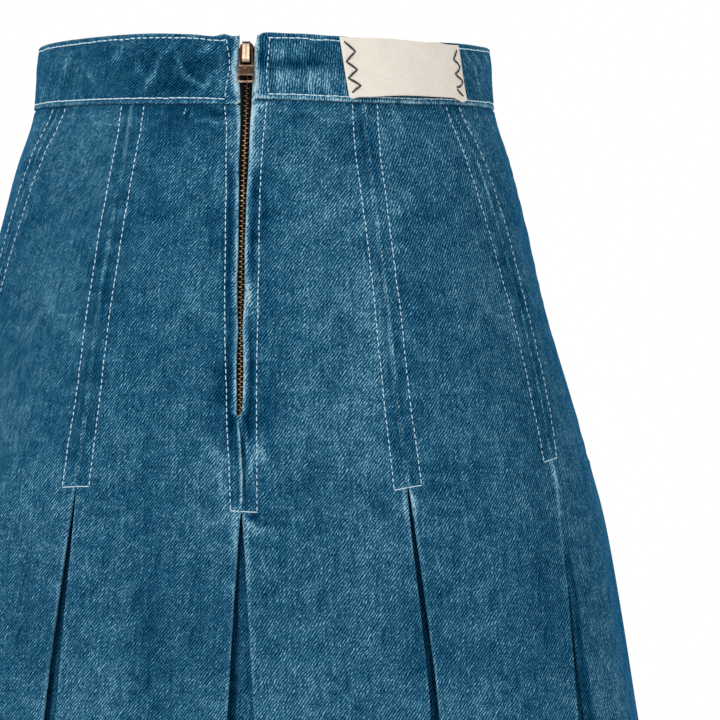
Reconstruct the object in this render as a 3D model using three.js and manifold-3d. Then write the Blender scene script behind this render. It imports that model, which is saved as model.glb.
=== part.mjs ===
// Denim skirt: A-line, eleven gores joined by inverted pleats that are stitched down to the high hip,
// a curved waistband and an exposed metal zip at the centre back.
// Units are millimetres and +Z is up. The zip faces -Y and the wearer's right is +X.
// The origin is the centre of the waist, half way up the waistband.
import * as THREE from "three";
import Module from "manifold-3d";

const wasm = await Module();
wasm.setup();

// Driving dimensions of the cloth
const bandHeight = 35;
const bandThickness = 2.8;
const bandPuff = 0.35;
const bandProud = 0.3;
const bandRise = 2.1; // the lower edge of the band is this much higher at the sides
const zipEndRise = 1.6; // the band's right end stands this much higher beside the zip
const zipEndRiseReach = 45;
const bandEdgeDepth = 0.7; // the band's upper edge is rounded off by this much
const bandEdgeHeight = 0.9;
const skirtLength = 450;
const clothThickness = 1.1;
const foldGap = 0.4; // air inside a folded edge
const seamGap = 0.3;
const allowanceWidth = 9; // how far a folded edge turns back above the pleat's bar
const returnWidth = 26; // and below it
const returnSpread = 22; // the height over which the one becomes the other
const underlayRise = 18; // an underlay starts this far above its bar
const underlayHemLift = 2;
const underlayTopRun = 8; // no section of an underlay is closer than this to its top
const bandTuckReach = 6; // a gore's top row follows the band's edge from this far below it
const proudReach = 34; // a lifted fold edge eases back into its gore over this width

const bandTop = bandHeight / 2;
const bandBottom = -bandHeight / 2;
const hem = bandTop - skirtLength;
const foldThickness = 2 * clothThickness + foldGap;
const underlayDepth = foldThickness + 0.6;

// The filled-out form: half width at the sides, depth to the back and to the front, and the exponent of
// the rounded section, all at the outer face of the cloth
const formRows = [
  { z: bandTop, side: 118.5, back: 94, front: 89, exponent: 2.05 },
  { z: bandBottom, side: 121.5, back: 99, front: 94, exponent: 2.05 },
  { z: -43, side: 129.3, back: 108.5, front: 99, exponent: 2.1 },
  { z: -78, side: 138.3, back: 119, front: 103.5, exponent: 2.18 },
  { z: -123, side: 148.2, back: 127, front: 107.5, exponent: 2.26 },
  { z: -166, side: 160.5, back: 130.5, front: 111, exponent: 2.33 },
  { z: -191, side: 167.9, back: 131, front: 113, exponent: 2.36 },
  { z: -233, side: 179, back: 130.5, front: 116, exponent: 2.4 },
  { z: -323, side: 193, back: 132, front: 122.5, exponent: 2.4 },
  { z: hem, side: 209, back: 138, front: 131, exponent: 2.36 },
];

// Where the centre lines of the pleats run, in degrees round from the centre back, the same on both sides
const pleatRows = [
  { z: -18, centre: 0, first: 34.5, second: 62, third: 94, fourth: 124.7, fifth: 160.4 },
  { z: -45, centre: 0, first: 32.8, second: 65, third: 95.4, fourth: 125.9, fifth: 160.6 },
  { z: -80, centre: 0, first: 32.4, second: 66.6, third: 96.2, fourth: 126.3, fifth: 160.5 },
  { z: -124, centre: 0, first: 32.8, second: 68, third: 96.8, fourth: 126.5, fifth: 160.3 },
  { z: -170, centre: 0, first: 33.4, second: 67.5, third: 96.4, fourth: 125.5, fifth: 159.5 },
  { z: -210, centre: 0, first: 35, second: 66.7, third: 96, fourth: 124.6, fifth: 158.8 },
  { z: -317, centre: 0.3, first: 38.6, second: 67.3, third: 96.5, fourth: 124.8, fifth: 158.6 },
  { z: hem, centre: 0.6, first: 39.6, second: 67.6, third: 96.7, fourth: 124.6, fifth: 158.5 },
];

// Each pleat in order round from the left front: its side, its column above, the height of its bar, how
// far its folds stand apart at the hem, and how far its left and right fold edges lift out there
const pleats = [
  { name: "left_front", side: -1, column: "fifth", bar: -214, open: 12, left: 1.5, right: 3.5 },
  { name: "left_side_front", side: -1, column: "fourth", bar: -201, open: 9, left: 3.5, right: 1 },
  { name: "left_side", side: -1, column: "third", bar: -194, open: 13, left: 1, right: 4 },
  { name: "left_side_back", side: -1, column: "second", bar: -200, open: 10, left: 1.5, right: 4.5 },
  { name: "left_back", side: -1, column: "first", bar: -213.5, open: 9, left: 3.5, right: 1 },
  { name: "centre_back", side: 1, column: "centre", bar: -226, open: 25, left: 5, right: 0.5 },
  { name: "right_back", side: 1, column: "first", bar: -213.5, open: 8, left: 1, right: 3.5 },
  { name: "right_side_back", side: 1, column: "second", bar: -200, open: 10, left: 5, right: 1 },
  { name: "right_side", side: 1, column: "third", bar: -194, open: 13, left: 4, right: 1 },
  { name: "right_side_front", side: 1, column: "fourth", bar: -201, open: 9, left: 1, right: 3.5 },
  { name: "right_front", side: 1, column: "fifth", bar: -214, open: 12, left: 3.5, right: 1.5 },
];

// The soft standing folds of the flare: the gore they are in, counted as the pleats are, the place across
// it from 0 to 1, their half width, their height at the hem and the level where they start
const softFolds = [
  { gore: 0, place: 0.45, width: 17, height: 4, top: -210 },
  { gore: 1, place: 0.55, width: 20, height: 5, top: -200 },
  { gore: 2, place: 0.4, width: 16, height: 3.5, top: -230 },
  { gore: 3, place: 0.6, width: 20, height: 4.5, top: -215 },
  { gore: 4, place: 0.42, width: 18, height: 5, top: -235 },
  { gore: 5, place: 0.58, width: 22, height: 3, top: -240 },
  { gore: 6, place: 0.5, width: 20, height: 4, top: -220 },
  { gore: 7, place: 0.38, width: 17, height: 5, top: -205 },
  { gore: 8, place: 0.55, width: 19, height: 4, top: -225 },
  { gore: 9, place: 0.48, width: 18, height: 5, top: -205 },
  { gore: 10, place: 0.3, width: 20, height: 4.5, top: -235 },
  { gore: 10, place: 0.72, width: 17, height: 3.5, top: -250 },
];

// How wide the edges stand apart over the zip
const zipGapRows = [
  { z: bandTop, gap: 8.9 },
  { z: 0, gap: 7.6 },
  { z: bandBottom, gap: 5.7 },
  { z: -27, gap: 4.9 },
  { z: -65, gap: 3.9 },
  { z: -140, gap: 2.8 },
  { z: -178, gap: 1.4 },
  { z: -186, gap: seamGap },
  { z: hem, gap: seamGap },
];

// The zip, with depths counted inwards from the outer face of the cloth
const zipDepth = 4.1;
const tapeWidth = 12;
const tapeThickness = 1;
const tapeTop = 11;
const zipBottom = -190;
const chainWidth = 4.6;
const chainThickness = 2.2;
const chainTop = 8.4;

const sliderPlateWidth = 6.6;
const sliderBackWidth = 9;
const sliderLength = 12.6;
const sliderTop = 13.8;
const sliderPlateDepth = [1.5, 2.6];
const sliderBackDepth = [5.7, 6.7];
const sliderCorner = 1.6;
const sliderBackCorner = 2;
const sliderTaper = 0.8;
const sliderBackTaper = 1.4;
const sliderBackDrop = 0.6;
const sliderWeld = 0.2; // how far its pieces run into each other
const wedgeWidth = 2.2;
const wedgeHeight = 2.6;
const wedgeDrop = 0.8;
const crownWidth = 4;
const crownBottom = 2.6;
const crownDepth = -3.5;
const crownWall = 0.9;

const hingeHeight = 12;
const hingeDepth = -1.5;
const tabBarRadius = 0.5;
const tabBarClearance = 0.55;
const tabThickness = 1.2;
const tabTopWidth = 6.6;
const tabBottomWidth = 8.4;
const tabLength = 20;
const tabRail = 0.85;
const tabSlotLength = 9.9;
const tabPlateHeight = 5.4;
const tabWindowHeight = 2.7;
const tabCorner = 1.1;
const tabSlotCorner = 0.5;
const tabWindowCorner = 0.4;
const cutMargin = 1; // a cut starts and ends this far outside the metal

// The label, as its corners: degrees round from the centre back and height
const labelCorners = {
  topLeft: { angle: 28.2, z: 17 },
  topRight: { angle: 66.2, z: 15.6 },
  bottomLeft: { angle: 30.2, z: -14.3 },
  bottomRight: { angle: 68, z: -13.6 },
};
const labelThickness = 1;
const labelGape = 1.3;

// A smooth curve through one column of a table whose rows go down in z
function columnAt(rows, column, z) {
  const last = rows.length - 1;
  const slope = (i) => {
    const above = rows[Math.max(i - 1, 0)];
    const below = rows[Math.min(i + 1, last)];
    return (above[column] - below[column]) / (above.z - below.z);
  };
  const level = Math.min(Math.max(z, rows[last].z), rows[0].z);
  const found = rows.findIndex((row, i) => i > 0 && level >= row.z);
  const i = found < 1 ? last : found;
  const span = rows[i - 1].z - rows[i].z;
  const t = (level - rows[i].z) / span;
  const low = rows[i][column];
  const high = rows[i - 1][column];
  return low * (1 + 2 * t) * (1 - t) ** 2 + high * t * t * (3 - 2 * t)
    + span * (slope(i) * t * (1 - t) ** 2 - slope(i - 1) * t * t * (1 - t));
}

function straightColumnAt(rows, column, z) {
  const below = rows.findIndex((row, i) => i > 0 && z >= row.z);
  const i = below < 1 ? rows.length - 1 : below;
  const t = Math.min((z - rows[i].z) / (rows[i - 1].z - rows[i].z), 1);
  return rows[i][column] + t * (rows[i - 1][column] - rows[i][column]);
}

function smoothStep(low, high, value) {
  const t = Math.min(Math.max((value - low) / (high - low), 0), 1);
  return t * t * (3 - 2 * t);
}

// The form's radius at a level: a rounded section whose back and front halves have their own depths
function formAt(z) {
  const side = columnAt(formRows, "side", z);
  const back = columnAt(formRows, "back", z);
  const front = columnAt(formRows, "front", z);
  const exponent = columnAt(formRows, "exponent", z);
  return (angle) => {
    const x = Math.sin(angle);
    const y = Math.cos(angle);
    const depth = y > 0 ? back : front;
    const radius = (Math.abs(y / depth) ** exponent + Math.abs(x / side) ** exponent) ** (-1 / exponent);
    return new THREE.Vector2(radius * x, -radius * y);
  };
}

// A point at an angle, a level and a depth inwards, measured square to the section
function formPoint(degrees, z, depth) {
  const section = formAt(z);
  const angle = THREE.MathUtils.degToRad(degrees);
  const nudge = 0.004;
  const point = section(angle);
  const along = section(angle + nudge).sub(section(angle - nudge)).normalize();
  return new THREE.Vector3(point.x - along.y * depth, point.y + along.x * depth, z);
}

// The way round the section at one level, so that places on it can be given in millimetres of cloth
const ringCache = new Map();
function ringAt(z) {
  if (!ringCache.has(z)) {
    const section = formAt(z);
    const step = 1;
    const arcs = [0];
    for (let degrees = -180; degrees < 180; degrees += step) {
      const start = section(THREE.MathUtils.degToRad(degrees));
      const end = section(THREE.MathUtils.degToRad(degrees + step));
      arcs.push(arcs[arcs.length - 1] + start.distanceTo(end));
    }
    const middle = arcs[180 / step];
    const arcOf = (degrees) => {
      const place = Math.min(Math.max((degrees + 180) / step, 0), arcs.length - 1.001);
      const i = Math.floor(place);
      return arcs[i] + (place - i) * (arcs[i + 1] - arcs[i]) - middle;
    };
    const total = arcs[arcs.length - 1];
    const degreesOf = (arc) => {
      const turns = Math.floor((arc + middle) / total);
      const rest = arc + middle - turns * total;
      const i = Math.min(Math.max(arcs.findIndex((value) => value > rest), 1), arcs.length - 1);
      return (i - 1 + (rest - arcs[i - 1]) / (arcs[i] - arcs[i - 1])) * step - 180 + turns * 360;
    };
    ringCache.set(z, { arcOf, degreesOf, total });
  }
  return ringCache.get(z);
}

// The lower edge of the band rises a little towards the sides
function bandBottomAt(degrees) {
  return bandBottom + bandRise * Math.sin(THREE.MathUtils.degToRad(degrees)) ** 2;
}

// A closed body through rings of equal length, each ring going anticlockwise as seen from the last one
function bodyThroughRings(rings) {
  const count = rings[0].length;
  const positions = rings.flat().flatMap((point) => point.toArray());
  const index = [];
  for (let row = 0; row < rings.length - 1; row += 1) {
    for (let i = 0; i < count; i += 1) {
      const a = row * count + i;
      const b = row * count + ((i + 1) % count);
      index.push(a, b, a + count, b, b + count, a + count);
    }
  }
  return { positions, index, count };
}

// The two ends of such a body, closed by strips between the ring's outer and inner sides
function closeEnds(body, ringCount, pairs) {
  const lastRow = (ringCount - 1) * body.count;
  const addToBoth = (a, b, c) => {
    body.index.push(a, b, c);
    body.index.push(lastRow + a, lastRow + c, lastRow + b);
  };
  for (let i = 0; i < pairs.length - 1; i += 1) {
    const [outer, inner] = pairs[i];
    const [nextOuter, nextInner] = pairs[i + 1];
    addToBoth(outer, inner, nextInner);
    addToBoth(outer, nextInner, nextOuter);
  }
}

function geometryOf(body) {
  const geometry = new THREE.BufferGeometry();
  geometry.setAttribute("position", new THREE.Float32BufferAttribute(body.positions, 3));
  geometry.setIndex(body.index);
  return geometry;
}

// Where a pleat's centre line and its two fold edges are at a level, in millimetres of cloth
function pleatAt(pleat, z) {
  const ring = ringAt(z);
  const centre = ring.arcOf(pleat.side * columnAt(pleatRows, pleat.column, z));
  const below = Math.max(pleat.bar - z, 0) / (pleat.bar - hem);
  const opened = pleat.open * below ** 0.92;
  const zip = pleat.column === "centre" ? straightColumnAt(zipGapRows, "gap", z) : seamGap;
  const gap = Math.max(zip, seamGap, opened);
  const width = allowanceWidth
    + (returnWidth - allowanceWidth) * smoothStep(-returnSpread, returnSpread, pleat.bar - z);
  return { centre, gap, width, below };
}

// How far the cloth of a gore stands in from the form, below zero where it lifts out
function goreShift(gore, z, arc, left, right) {
  const fall = (distance) => Math.max(1 - Math.max(distance, 0) / proudReach, 0) ** 2;
  let shift = -pleats[gore].right * left.below * fall(arc - left.edge);
  shift -= pleats[(gore + 1) % pleats.length].left * right.below * fall(right.edge - arc);
  for (const fold of softFolds.filter((row) => row.gore === gore)) {
    const middle = left.edge + fold.place * (right.edge - left.edge);
    const grown = smoothStep(0, fold.top - hem, fold.top - z);
    shift -= fold.height * grown * Math.exp(-(((arc - middle) / fold.width) ** 2));
  }
  return shift;
}

// One section of a gore: the panel between two folded edges, and the returns that lie behind it
const panelSteps = 6;
const foldTurns = [60, 120];
function goreSection(gore, z) {
  const ring = ringAt(z);
  const leftPleat = pleatAt(pleats[gore], z);
  const rightPleat = pleatAt(pleats[(gore + 1) % pleats.length], z);
  const turned = gore === pleats.length - 1 ? ring.total : 0;
  const left = { edge: leftPleat.centre + leftPleat.gap / 2, ...leftPleat };
  const right = { edge: rightPleat.centre + turned - rightPleat.gap / 2, ...rightPleat };
  const outerRadius = foldThickness / 2;
  const from = left.edge + outerRadius;
  const to = right.edge - outerRadius;
  const across = (i) => from + (to - from) * (i / panelSteps);
  const turn = (edge, way, radius, degrees) => {
    const angle = THREE.MathUtils.degToRad(degrees);
    return [edge + way * radius * Math.sin(angle), outerRadius - radius * Math.cos(angle)];
  };
  const innerDepth = foldThickness - clothThickness;
  const outer = [];
  const inner = [];
  for (const share of [1, 0.5, 0]) {
    const arc = from + share * (left.width - outerRadius);
    outer.push([arc, foldThickness]);
    inner.push([arc, innerDepth]);
  }
  for (const degrees of [...foldTurns].reverse()) {
    outer.push(turn(from, -1, outerRadius, degrees));
    inner.push(turn(from, -1, foldGap / 2, degrees));
  }
  for (let i = 0; i <= panelSteps; i += 1) {
    outer.push([across(i), 0]);
    inner.push([across(i), clothThickness]);
  }
  for (const degrees of foldTurns) {
    outer.push(turn(to, 1, outerRadius, degrees));
    inner.push(turn(to, 1, foldGap / 2, degrees));
  }
  for (const share of [0, 0.5, 1]) {
    const arc = to - share * (right.width - outerRadius);
    outer.push([arc, foldThickness]);
    inner.push([arc, innerDepth]);
  }
  const place = ([arc, depth]) => {
    const degrees = ring.degreesOf(arc);
    const level = z > bandBottomAt(degrees) - seamGap - bandTuckReach
      ? Math.min(z, bandBottomAt(degrees) - seamGap)
      : z;
    return formPoint(degrees, level, depth + goreShift(gore, z, arc, left, right));
  };
  return { outer: outer.map(place), inner: inner.map(place) };
}

const goreLevels = [-15.4, -30, -50, -80, -120, -160, -192, -213, -236, -275, -325, -380, hem];
function makeGore(gore) {
  return wallOf(goreLevels.map((z) => goreSection(gore, z)).reverse());
}

// A wall from sections that each list the points of its outer and of its inner face. The sections go up
// where their points go round to the right, and to the right where their points go down
function wallOf(sections) {
  const rings = sections.map(({ outer, inner }) => [...outer, ...[...inner].reverse()]);
  const body = bodyThroughRings(rings);
  const size = sections[0].outer.length;
  const pairs = sections[0].outer.map((_, i) => [i, 2 * size - 1 - i]);
  closeEnds(body, sections.length, pairs);
  return geometryOf(body);
}

// A pleat's underlay: a strip behind both returns, from above the bar to the hem
const underlaySteps = 5;
function makeUnderlay(pleat) {
  const top = pleat.bar + underlayRise;
  const levels = goreLevels.filter((z) => z < top - underlayTopRun && z > hem);
  const sections = [];
  for (const z of [top, ...levels, hem + underlayHemLift]) {
    const ring = ringAt(z);
    const { centre, gap, width } = pleatAt(pleat, z);
    const half = gap / 2 + width;
    const face = (depth) => {
      const points = [];
      for (let i = 0; i <= underlaySteps; i += 1) {
        const arc = centre - half + 2 * half * (i / underlaySteps);
        points.push(formPoint(ring.degreesOf(arc), z, depth));
      }
      return points;
    };
    sections.unshift({ outer: face(underlayDepth), inner: face(underlayDepth + clothThickness) });
  }
  return wallOf(sections);
}

// The waistband: one curved strip of doubled cloth whose ends stand apart over the zip
const bandSteps = 60;
function makeBand() {
  const ring = ringAt(0);
  const sections = [];
  for (let i = 0; i <= bandSteps; i += 1) {
    const place = (z) => {
      const half = straightColumnAt(zipGapRows, "gap", z) / 2;
      return ring.degreesOf(half + (ring.total - 2 * half) * (i / bandSteps));
    };
    const arc = ring.total * (i / bandSteps);
    const top = bandTop + zipEndRise * Math.exp(-arc / zipEndRiseReach);
    const bottom = bandBottomAt(ring.degreesOf(arc));
    const point = (z, depth) => formPoint(place(z), z, depth);
    const inside = bandThickness - bandProud;
    sections.push({
      outer: [
        point(top, -bandProud + bandEdgeDepth),
        point(top - bandEdgeHeight, -bandProud),
        point((top + bottom) / 2, -bandProud - bandPuff),
        point(bottom, -bandProud),
      ],
      inner: [
        point(top, inside - bandEdgeDepth),
        point(top - bandEdgeHeight, inside),
        point((top + bottom) / 2, inside),
        point(bottom, inside),
      ],
    });
  }
  return wallOf(sections);
}

// The label: a strip on the band's face, sewn down at both ends, its lower edge standing off between them
const labelSteps = 10;
function makeLabel() {
  const mix = (a, b, t) => ({ angle: a.angle + t * (b.angle - a.angle), z: a.z + t * (b.z - a.z) });
  const { topLeft, topRight, bottomLeft, bottomRight } = labelCorners;
  const sections = [];
  for (let i = 0; i <= labelSteps; i += 1) {
    const along = i / labelSteps;
    const upper = mix(topLeft, topRight, along);
    const lower = mix(bottomLeft, bottomRight, along);
    const gape = Math.sin(Math.PI * along) ** 0.7;
    const face = (lift) => [1, 0.5, 0].map((up) => {
      const { angle, z } = mix(lower, upper, up);
      const off = labelGape * gape * (1 - up) ** 1.5;
      return formPoint(angle, z, -bandProud - bandPuff - seamGap - lift - off);
    });
    sections.push({ outer: face(labelThickness), inner: face(0) });
  }
  return wallOf(sections);
}

// A strip of the zip that follows the centre back, between two distances from it
const zipLevels = 12;
function makeZipStrip(from, to, top, thickness) {
  const sections = [];
  for (let row = 0; row <= zipLevels; row += 1) {
    const z = top + (zipBottom - top) * (row / zipLevels);
    const outward = zipDepth - thickness / 2;
    const point = (x, depth) => new THREE.Vector3(x, formPoint(0, z, depth).y, z);
    sections.unshift({
      outer: [point(from, outward), point(to, outward)],
      inner: [point(from, outward + thickness), point(to, outward + thickness)],
    });
  }
  return wallOf(sections);
}

function solidOf(geometry) {
  const bare = geometry.index ? geometry.toNonIndexed() : geometry;
  const seen = new Map();
  const vertices = [];
  const triangles = [];
  const position = bare.getAttribute("position");
  for (let i = 0; i < position.count; i += 1) {
    const corner = [position.getX(i), position.getY(i), position.getZ(i)];
    const key = corner.map((value) => Math.round(value * 1e5)).join();
    if (!seen.has(key)) {
      seen.set(key, vertices.length / 3);
      vertices.push(...corner);
    }
    triangles.push(seen.get(key));
  }
  return new wasm.Manifold(new wasm.Mesh({
    numProp: 3,
    vertProperties: new Float32Array(vertices),
    triVerts: new Uint32Array(triangles),
  }));
}

function geometryFrom(solid) {
  const mesh = solid.getMesh();
  const geometry = new THREE.BufferGeometry();
  geometry.setAttribute("position", new THREE.BufferAttribute(new Float32Array(mesh.vertProperties), 3));
  geometry.setIndex(new THREE.BufferAttribute(new Uint32Array(mesh.triVerts), 1));
  return geometry;
}

// An outline in x and z, given depth from its front face to its back face
function plate(outline, front, back) {
  const shape = new THREE.Shape(outline.map(([x, z]) => new THREE.Vector2(x, z)));
  const geometry = new THREE.ExtrudeGeometry(shape, { depth: back - front, bevelEnabled: false });
  geometry.rotateX(Math.PI / 2);
  geometry.translate(0, back, 0);
  return solidOf(geometry);
}

function block(width, bottom, top, front, back) {
  const half = width / 2;
  return plate([[-half, bottom], [half, bottom], [half, top], [-half, top]], front, back);
}

// An outline with round corners of one radius, wider at its foot
function roundedOutline(topWidth, bottomWidth, top, bottom, radius) {
  const corners = [
    { x: bottomWidth / 2 - radius, z: bottom + radius, start: -90 },
    { x: topWidth / 2 - radius, z: top - radius, start: 0 },
    { x: -topWidth / 2 + radius, z: top - radius, start: 90 },
    { x: -bottomWidth / 2 + radius, z: bottom + radius, start: 180 },
  ];
  return corners.flatMap(({ x, z, start }) => [0, 30, 60, 90].map((turn) => {
    const angle = THREE.MathUtils.degToRad(start + turn);
    return [x + radius * Math.cos(angle), z + radius * Math.sin(angle)];
  }));
}

// The slider: two plates joined by a wedge, with a crown on the front that holds the tab's bar
function makeSlider() {
  const bottom = sliderTop - sliderLength;
  const front = plate(
    roundedOutline(sliderPlateWidth, sliderPlateWidth - sliderTaper, sliderTop, bottom, sliderCorner),
    ...sliderPlateDepth,
  );
  const back = plate(
    roundedOutline(
      sliderBackWidth,
      sliderBackWidth - sliderBackTaper,
      sliderTop - sliderBackDrop,
      bottom,
      sliderBackCorner,
    ),
    ...sliderBackDepth,
  );
  const wedge = block(
    wedgeWidth,
    sliderTop - wedgeDrop - wedgeHeight,
    sliderTop - wedgeDrop,
    sliderPlateDepth[0] + sliderWeld,
    sliderBackDepth[1] - sliderWeld,
  );
  const barHole = tabBarRadius + tabBarClearance;
  const crownTop = hingeHeight + barHole + crownWall;
  const outline = [
    [sliderPlateDepth[0] + sliderWeld, crownBottom],
    [sliderPlateDepth[0] + sliderWeld, crownTop],
    [crownDepth + 1.6, crownTop],
    [crownDepth + 0.5, crownTop - 0.5],
    [crownDepth, crownTop - 1.5],
    [crownDepth, crownBottom + 1.6],
    [crownDepth + 0.6, crownBottom + 0.5],
    [crownDepth + 1.5, crownBottom],
  ];
  const profile = new THREE.Shape(outline.map(([depth, z]) => new THREE.Vector2(depth, z)));
  const hole = new THREE.Path();
  hole.absellipse(hingeDepth, hingeHeight, barHole, barHole, 0, 2 * Math.PI);
  profile.holes.push(hole);
  const crown = new THREE.ExtrudeGeometry(profile, {
    depth: crownWidth,
    bevelEnabled: false,
    curveSegments: 12,
  });
  crown.translate(0, 0, -crownWidth / 2);
  const inward = new THREE.Vector3(0, 1, 0);
  const upward = new THREE.Vector3(0, 0, 1);
  const sideways = new THREE.Vector3(1, 0, 0);
  crown.applyMatrix4(new THREE.Matrix4().makeBasis(inward, upward, sideways));
  return geometryFrom(front.add(back).add(wedge).add(solidOf(crown)));
}

// The pull tab, about its hinge: a loop round the crown, a plain plate and a small window at its foot
function makeTab() {
  const top = tabBarRadius;
  const foot = top - tabLength;
  const front = -tabThickness / 2;
  const back = tabThickness / 2;
  const widthAt = (z) => tabTopWidth + (tabBottomWidth - tabTopWidth) * ((top - z) / tabLength);
  const inner = (upper, lower, radius) => roundedOutline(
    widthAt(upper) - 2 * tabRail,
    widthAt(lower) - 2 * tabRail,
    upper,
    lower,
    radius,
  );
  const slotTop = -tabBarRadius;
  const slotFoot = slotTop - tabSlotLength;
  const windowTop = slotFoot - tabPlateHeight;
  const outline = roundedOutline(tabTopWidth, tabBottomWidth, top, foot, tabCorner);
  const slot = plate(inner(slotTop, slotFoot, tabSlotCorner), front - cutMargin, back + cutMargin);
  const window = plate(
    inner(windowTop, windowTop - tabWindowHeight, tabWindowCorner),
    front - cutMargin,
    back + cutMargin,
  );
  return geometryFrom(plate(outline, front, back).subtract(slot).subtract(window));
}

const denim = { color: 0x27597a, roughness: 0.86, metalness: 0 };
const denimShade = { color: 0x1b4663, roughness: 0.88, metalness: 0 };
const cotton = { color: 0xe6dfd5, roughness: 0.82, metalness: 0 };
const tapeCloth = { color: 0x1c2b38, roughness: 0.85, metalness: 0 };
const antiqueBrass = { color: 0x5c4836, roughness: 0.42, metalness: 1 };

function named(name, geometry, finish) {
  geometry.computeVertexNormals();
  const mesh = new THREE.Mesh(geometry, new THREE.MeshStandardMaterial(finish));
  mesh.name = name;
  return mesh;
}

const group = new THREE.Group();
group.add(named("waistband", makeBand(), denim));
pleats.forEach((pleat, i) => {
  group.add(named(`gore_${i + 1}`, makeGore(i), denim));
  group.add(named(`underlay_${pleat.name}`, makeUnderlay(pleat), denimShade));
});
group.add(named("label", makeLabel(), cotton));

const tapeInner = chainWidth / 2 + seamGap;
const tapeOuter = tapeInner + tapeWidth;
group.add(named("zip_tape_left", makeZipStrip(-tapeOuter, -tapeInner, tapeTop, tapeThickness), tapeCloth));
group.add(named("zip_tape_right", makeZipStrip(tapeInner, tapeOuter, tapeTop, tapeThickness), tapeCloth));
const chain = makeZipStrip(-chainWidth / 2, chainWidth / 2, chainTop, chainThickness);
group.add(named("zip_chain", chain, antiqueBrass));

// The slider and its tab stand square to the band, which leans out towards its lower edge
const bandLean = Math.atan((formRows[1].back - formRows[0].back) / bandHeight);
const hardware = new THREE.Group();
hardware.rotation.x = -bandLean;
hardware.position.copy(formPoint(0, hingeHeight, 0));
const slider = named("slider", makeSlider(), antiqueBrass);
slider.position.z = -hingeHeight;
const tab = named("pull_tab", makeTab(), antiqueBrass);
tab.position.y = hingeDepth;
hardware.add(slider, tab);
group.add(hardware);

export default group;
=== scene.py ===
# Denim skirt: eleven gores, inverted pleats stitched down to the high hip, a curved waistband, a bare label
# and an exposed metal zip at the centre back. Tables are in millimetres, meshes in metres. The zip faces -Y,
# the wearer's right is +X, and the origin is the centre of the waist.
import math

import bmesh
import bpy
import numpy as np
from mathutils import Matrix


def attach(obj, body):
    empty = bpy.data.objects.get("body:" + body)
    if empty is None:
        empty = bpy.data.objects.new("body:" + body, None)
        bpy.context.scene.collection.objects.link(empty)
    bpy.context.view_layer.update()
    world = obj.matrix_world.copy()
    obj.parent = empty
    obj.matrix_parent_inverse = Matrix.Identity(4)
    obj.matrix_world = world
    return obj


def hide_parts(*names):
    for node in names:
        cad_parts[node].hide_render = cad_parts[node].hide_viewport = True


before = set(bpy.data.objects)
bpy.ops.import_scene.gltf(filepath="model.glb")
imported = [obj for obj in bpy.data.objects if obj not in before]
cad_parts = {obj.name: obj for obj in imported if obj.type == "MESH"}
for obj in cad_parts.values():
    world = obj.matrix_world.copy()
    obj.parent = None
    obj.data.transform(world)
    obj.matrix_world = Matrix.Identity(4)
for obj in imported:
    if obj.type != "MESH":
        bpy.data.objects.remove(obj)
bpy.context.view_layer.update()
print("frame loaded:", len(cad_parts), "nodes")

mm = 0.001

view = {
    "azimuth": 4.5,  # degrees towards +X from straight behind
    "elevation": -1.3,
    "distance": 3200,
    "framePixels": 720,
    "mmPerPixel": 0.527,  # in the plane through the origin
    "originPixel": (264.1, 81.9),
    "sensor": 36,
}


def namedColumns(names, rows):
    # a table as one array for each named column
    return dict(zip(names.split(), np.array(rows).T))


# The filled-out form, at the outer face of the cloth
form = namedColumns("z side back front exponent", [
    (17.5, 118.5, 94, 89, 2.05),
    (-17.5, 121.5, 99, 94, 2.05),
    (-43, 129.3, 108.5, 99, 2.1),
    (-78, 138.3, 119, 103.5, 2.18),
    (-123, 149.2, 127, 107.5, 2.26),
    (-166, 161.7, 130.5, 111, 2.33),
    (-191, 168.7, 131, 113, 2.36),
    (-233, 179, 130.5, 116, 2.4),
    (-323, 193, 132, 122.5, 2.4),
    (-432.5, 209, 138, 131, 2.36),
])

# Where the pleats' centre lines run, in degrees round from the centre back
pleatLines = namedColumns("z centre first second third fourth fifth", [
    (-18, 0, 34.5, 62, 94, 124.7, 160.4),
    (-45, 0, 32.8, 65, 95.4, 125.9, 160.6),
    (-80, 0, 32.4, 66.6, 96.2, 126.3, 160.5),
    (-124, 0, 32.8, 68, 96.8, 126.5, 160.3),
    (-170, 0, 33.4, 67.5, 96.4, 125.5, 159.5),
    (-210, 0, 35, 66.7, 96, 124.6, 158.8),
    (-317, 0.3, 38.6, 67.3, 96.5, 124.8, 158.6),
    (-432.5, 0.6, 39.6, 67.6, 96.7, 124.6, 158.5),
])

# name, side, column above, height of the bar, opening at the hem, how fast it opens (lower is sooner), lift
# of the left and right fold edges, how far the bar rises from its left end to its right
pleatFields = ("name", "side", "column", "bar", "open", "shape", "left", "right", "tilt")
pleats = [dict(zip(pleatFields, row)) for row in (
    ("left_front", -1, "fifth", -214, 12, 0.85, 1.5, 3.5, 0.8),
    ("left_side_front", -1, "fourth", -201, 9, 0.7, 3.5, 1, -1.2),
    ("left_side", -1, "third", -194, 13, 0.9, 1, 4, 1.6),
    ("left_side_back", -1, "second", -200, 10, 0.8, 1.5, 4.5, -0.7),
    ("left_back", -1, "first", -213.5, 9, 0.65, 3.5, 1, 0.4),
    ("centre_back", 1, "centre", -226, 24, 0.92, 5.5, 0.3, -0.7),
    ("right_back", 1, "first", -214, 5.2, 0.36, 1, 3.5, 2.6),
    ("right_side_back", 1, "second", -199.2, 19, 1.4, 4, -2.5, 2.4),
    ("right_side", 1, "third", -194, 13, 0.85, 4, 1, -0.9),
    ("right_side_front", 1, "fourth", -201, 9, 0.7, 1, 3.5, 1.3),
    ("right_front", 1, "fifth", -214, 12, 0.9, 3.5, 1.5, -1),
)]
centreBack = 5

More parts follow.
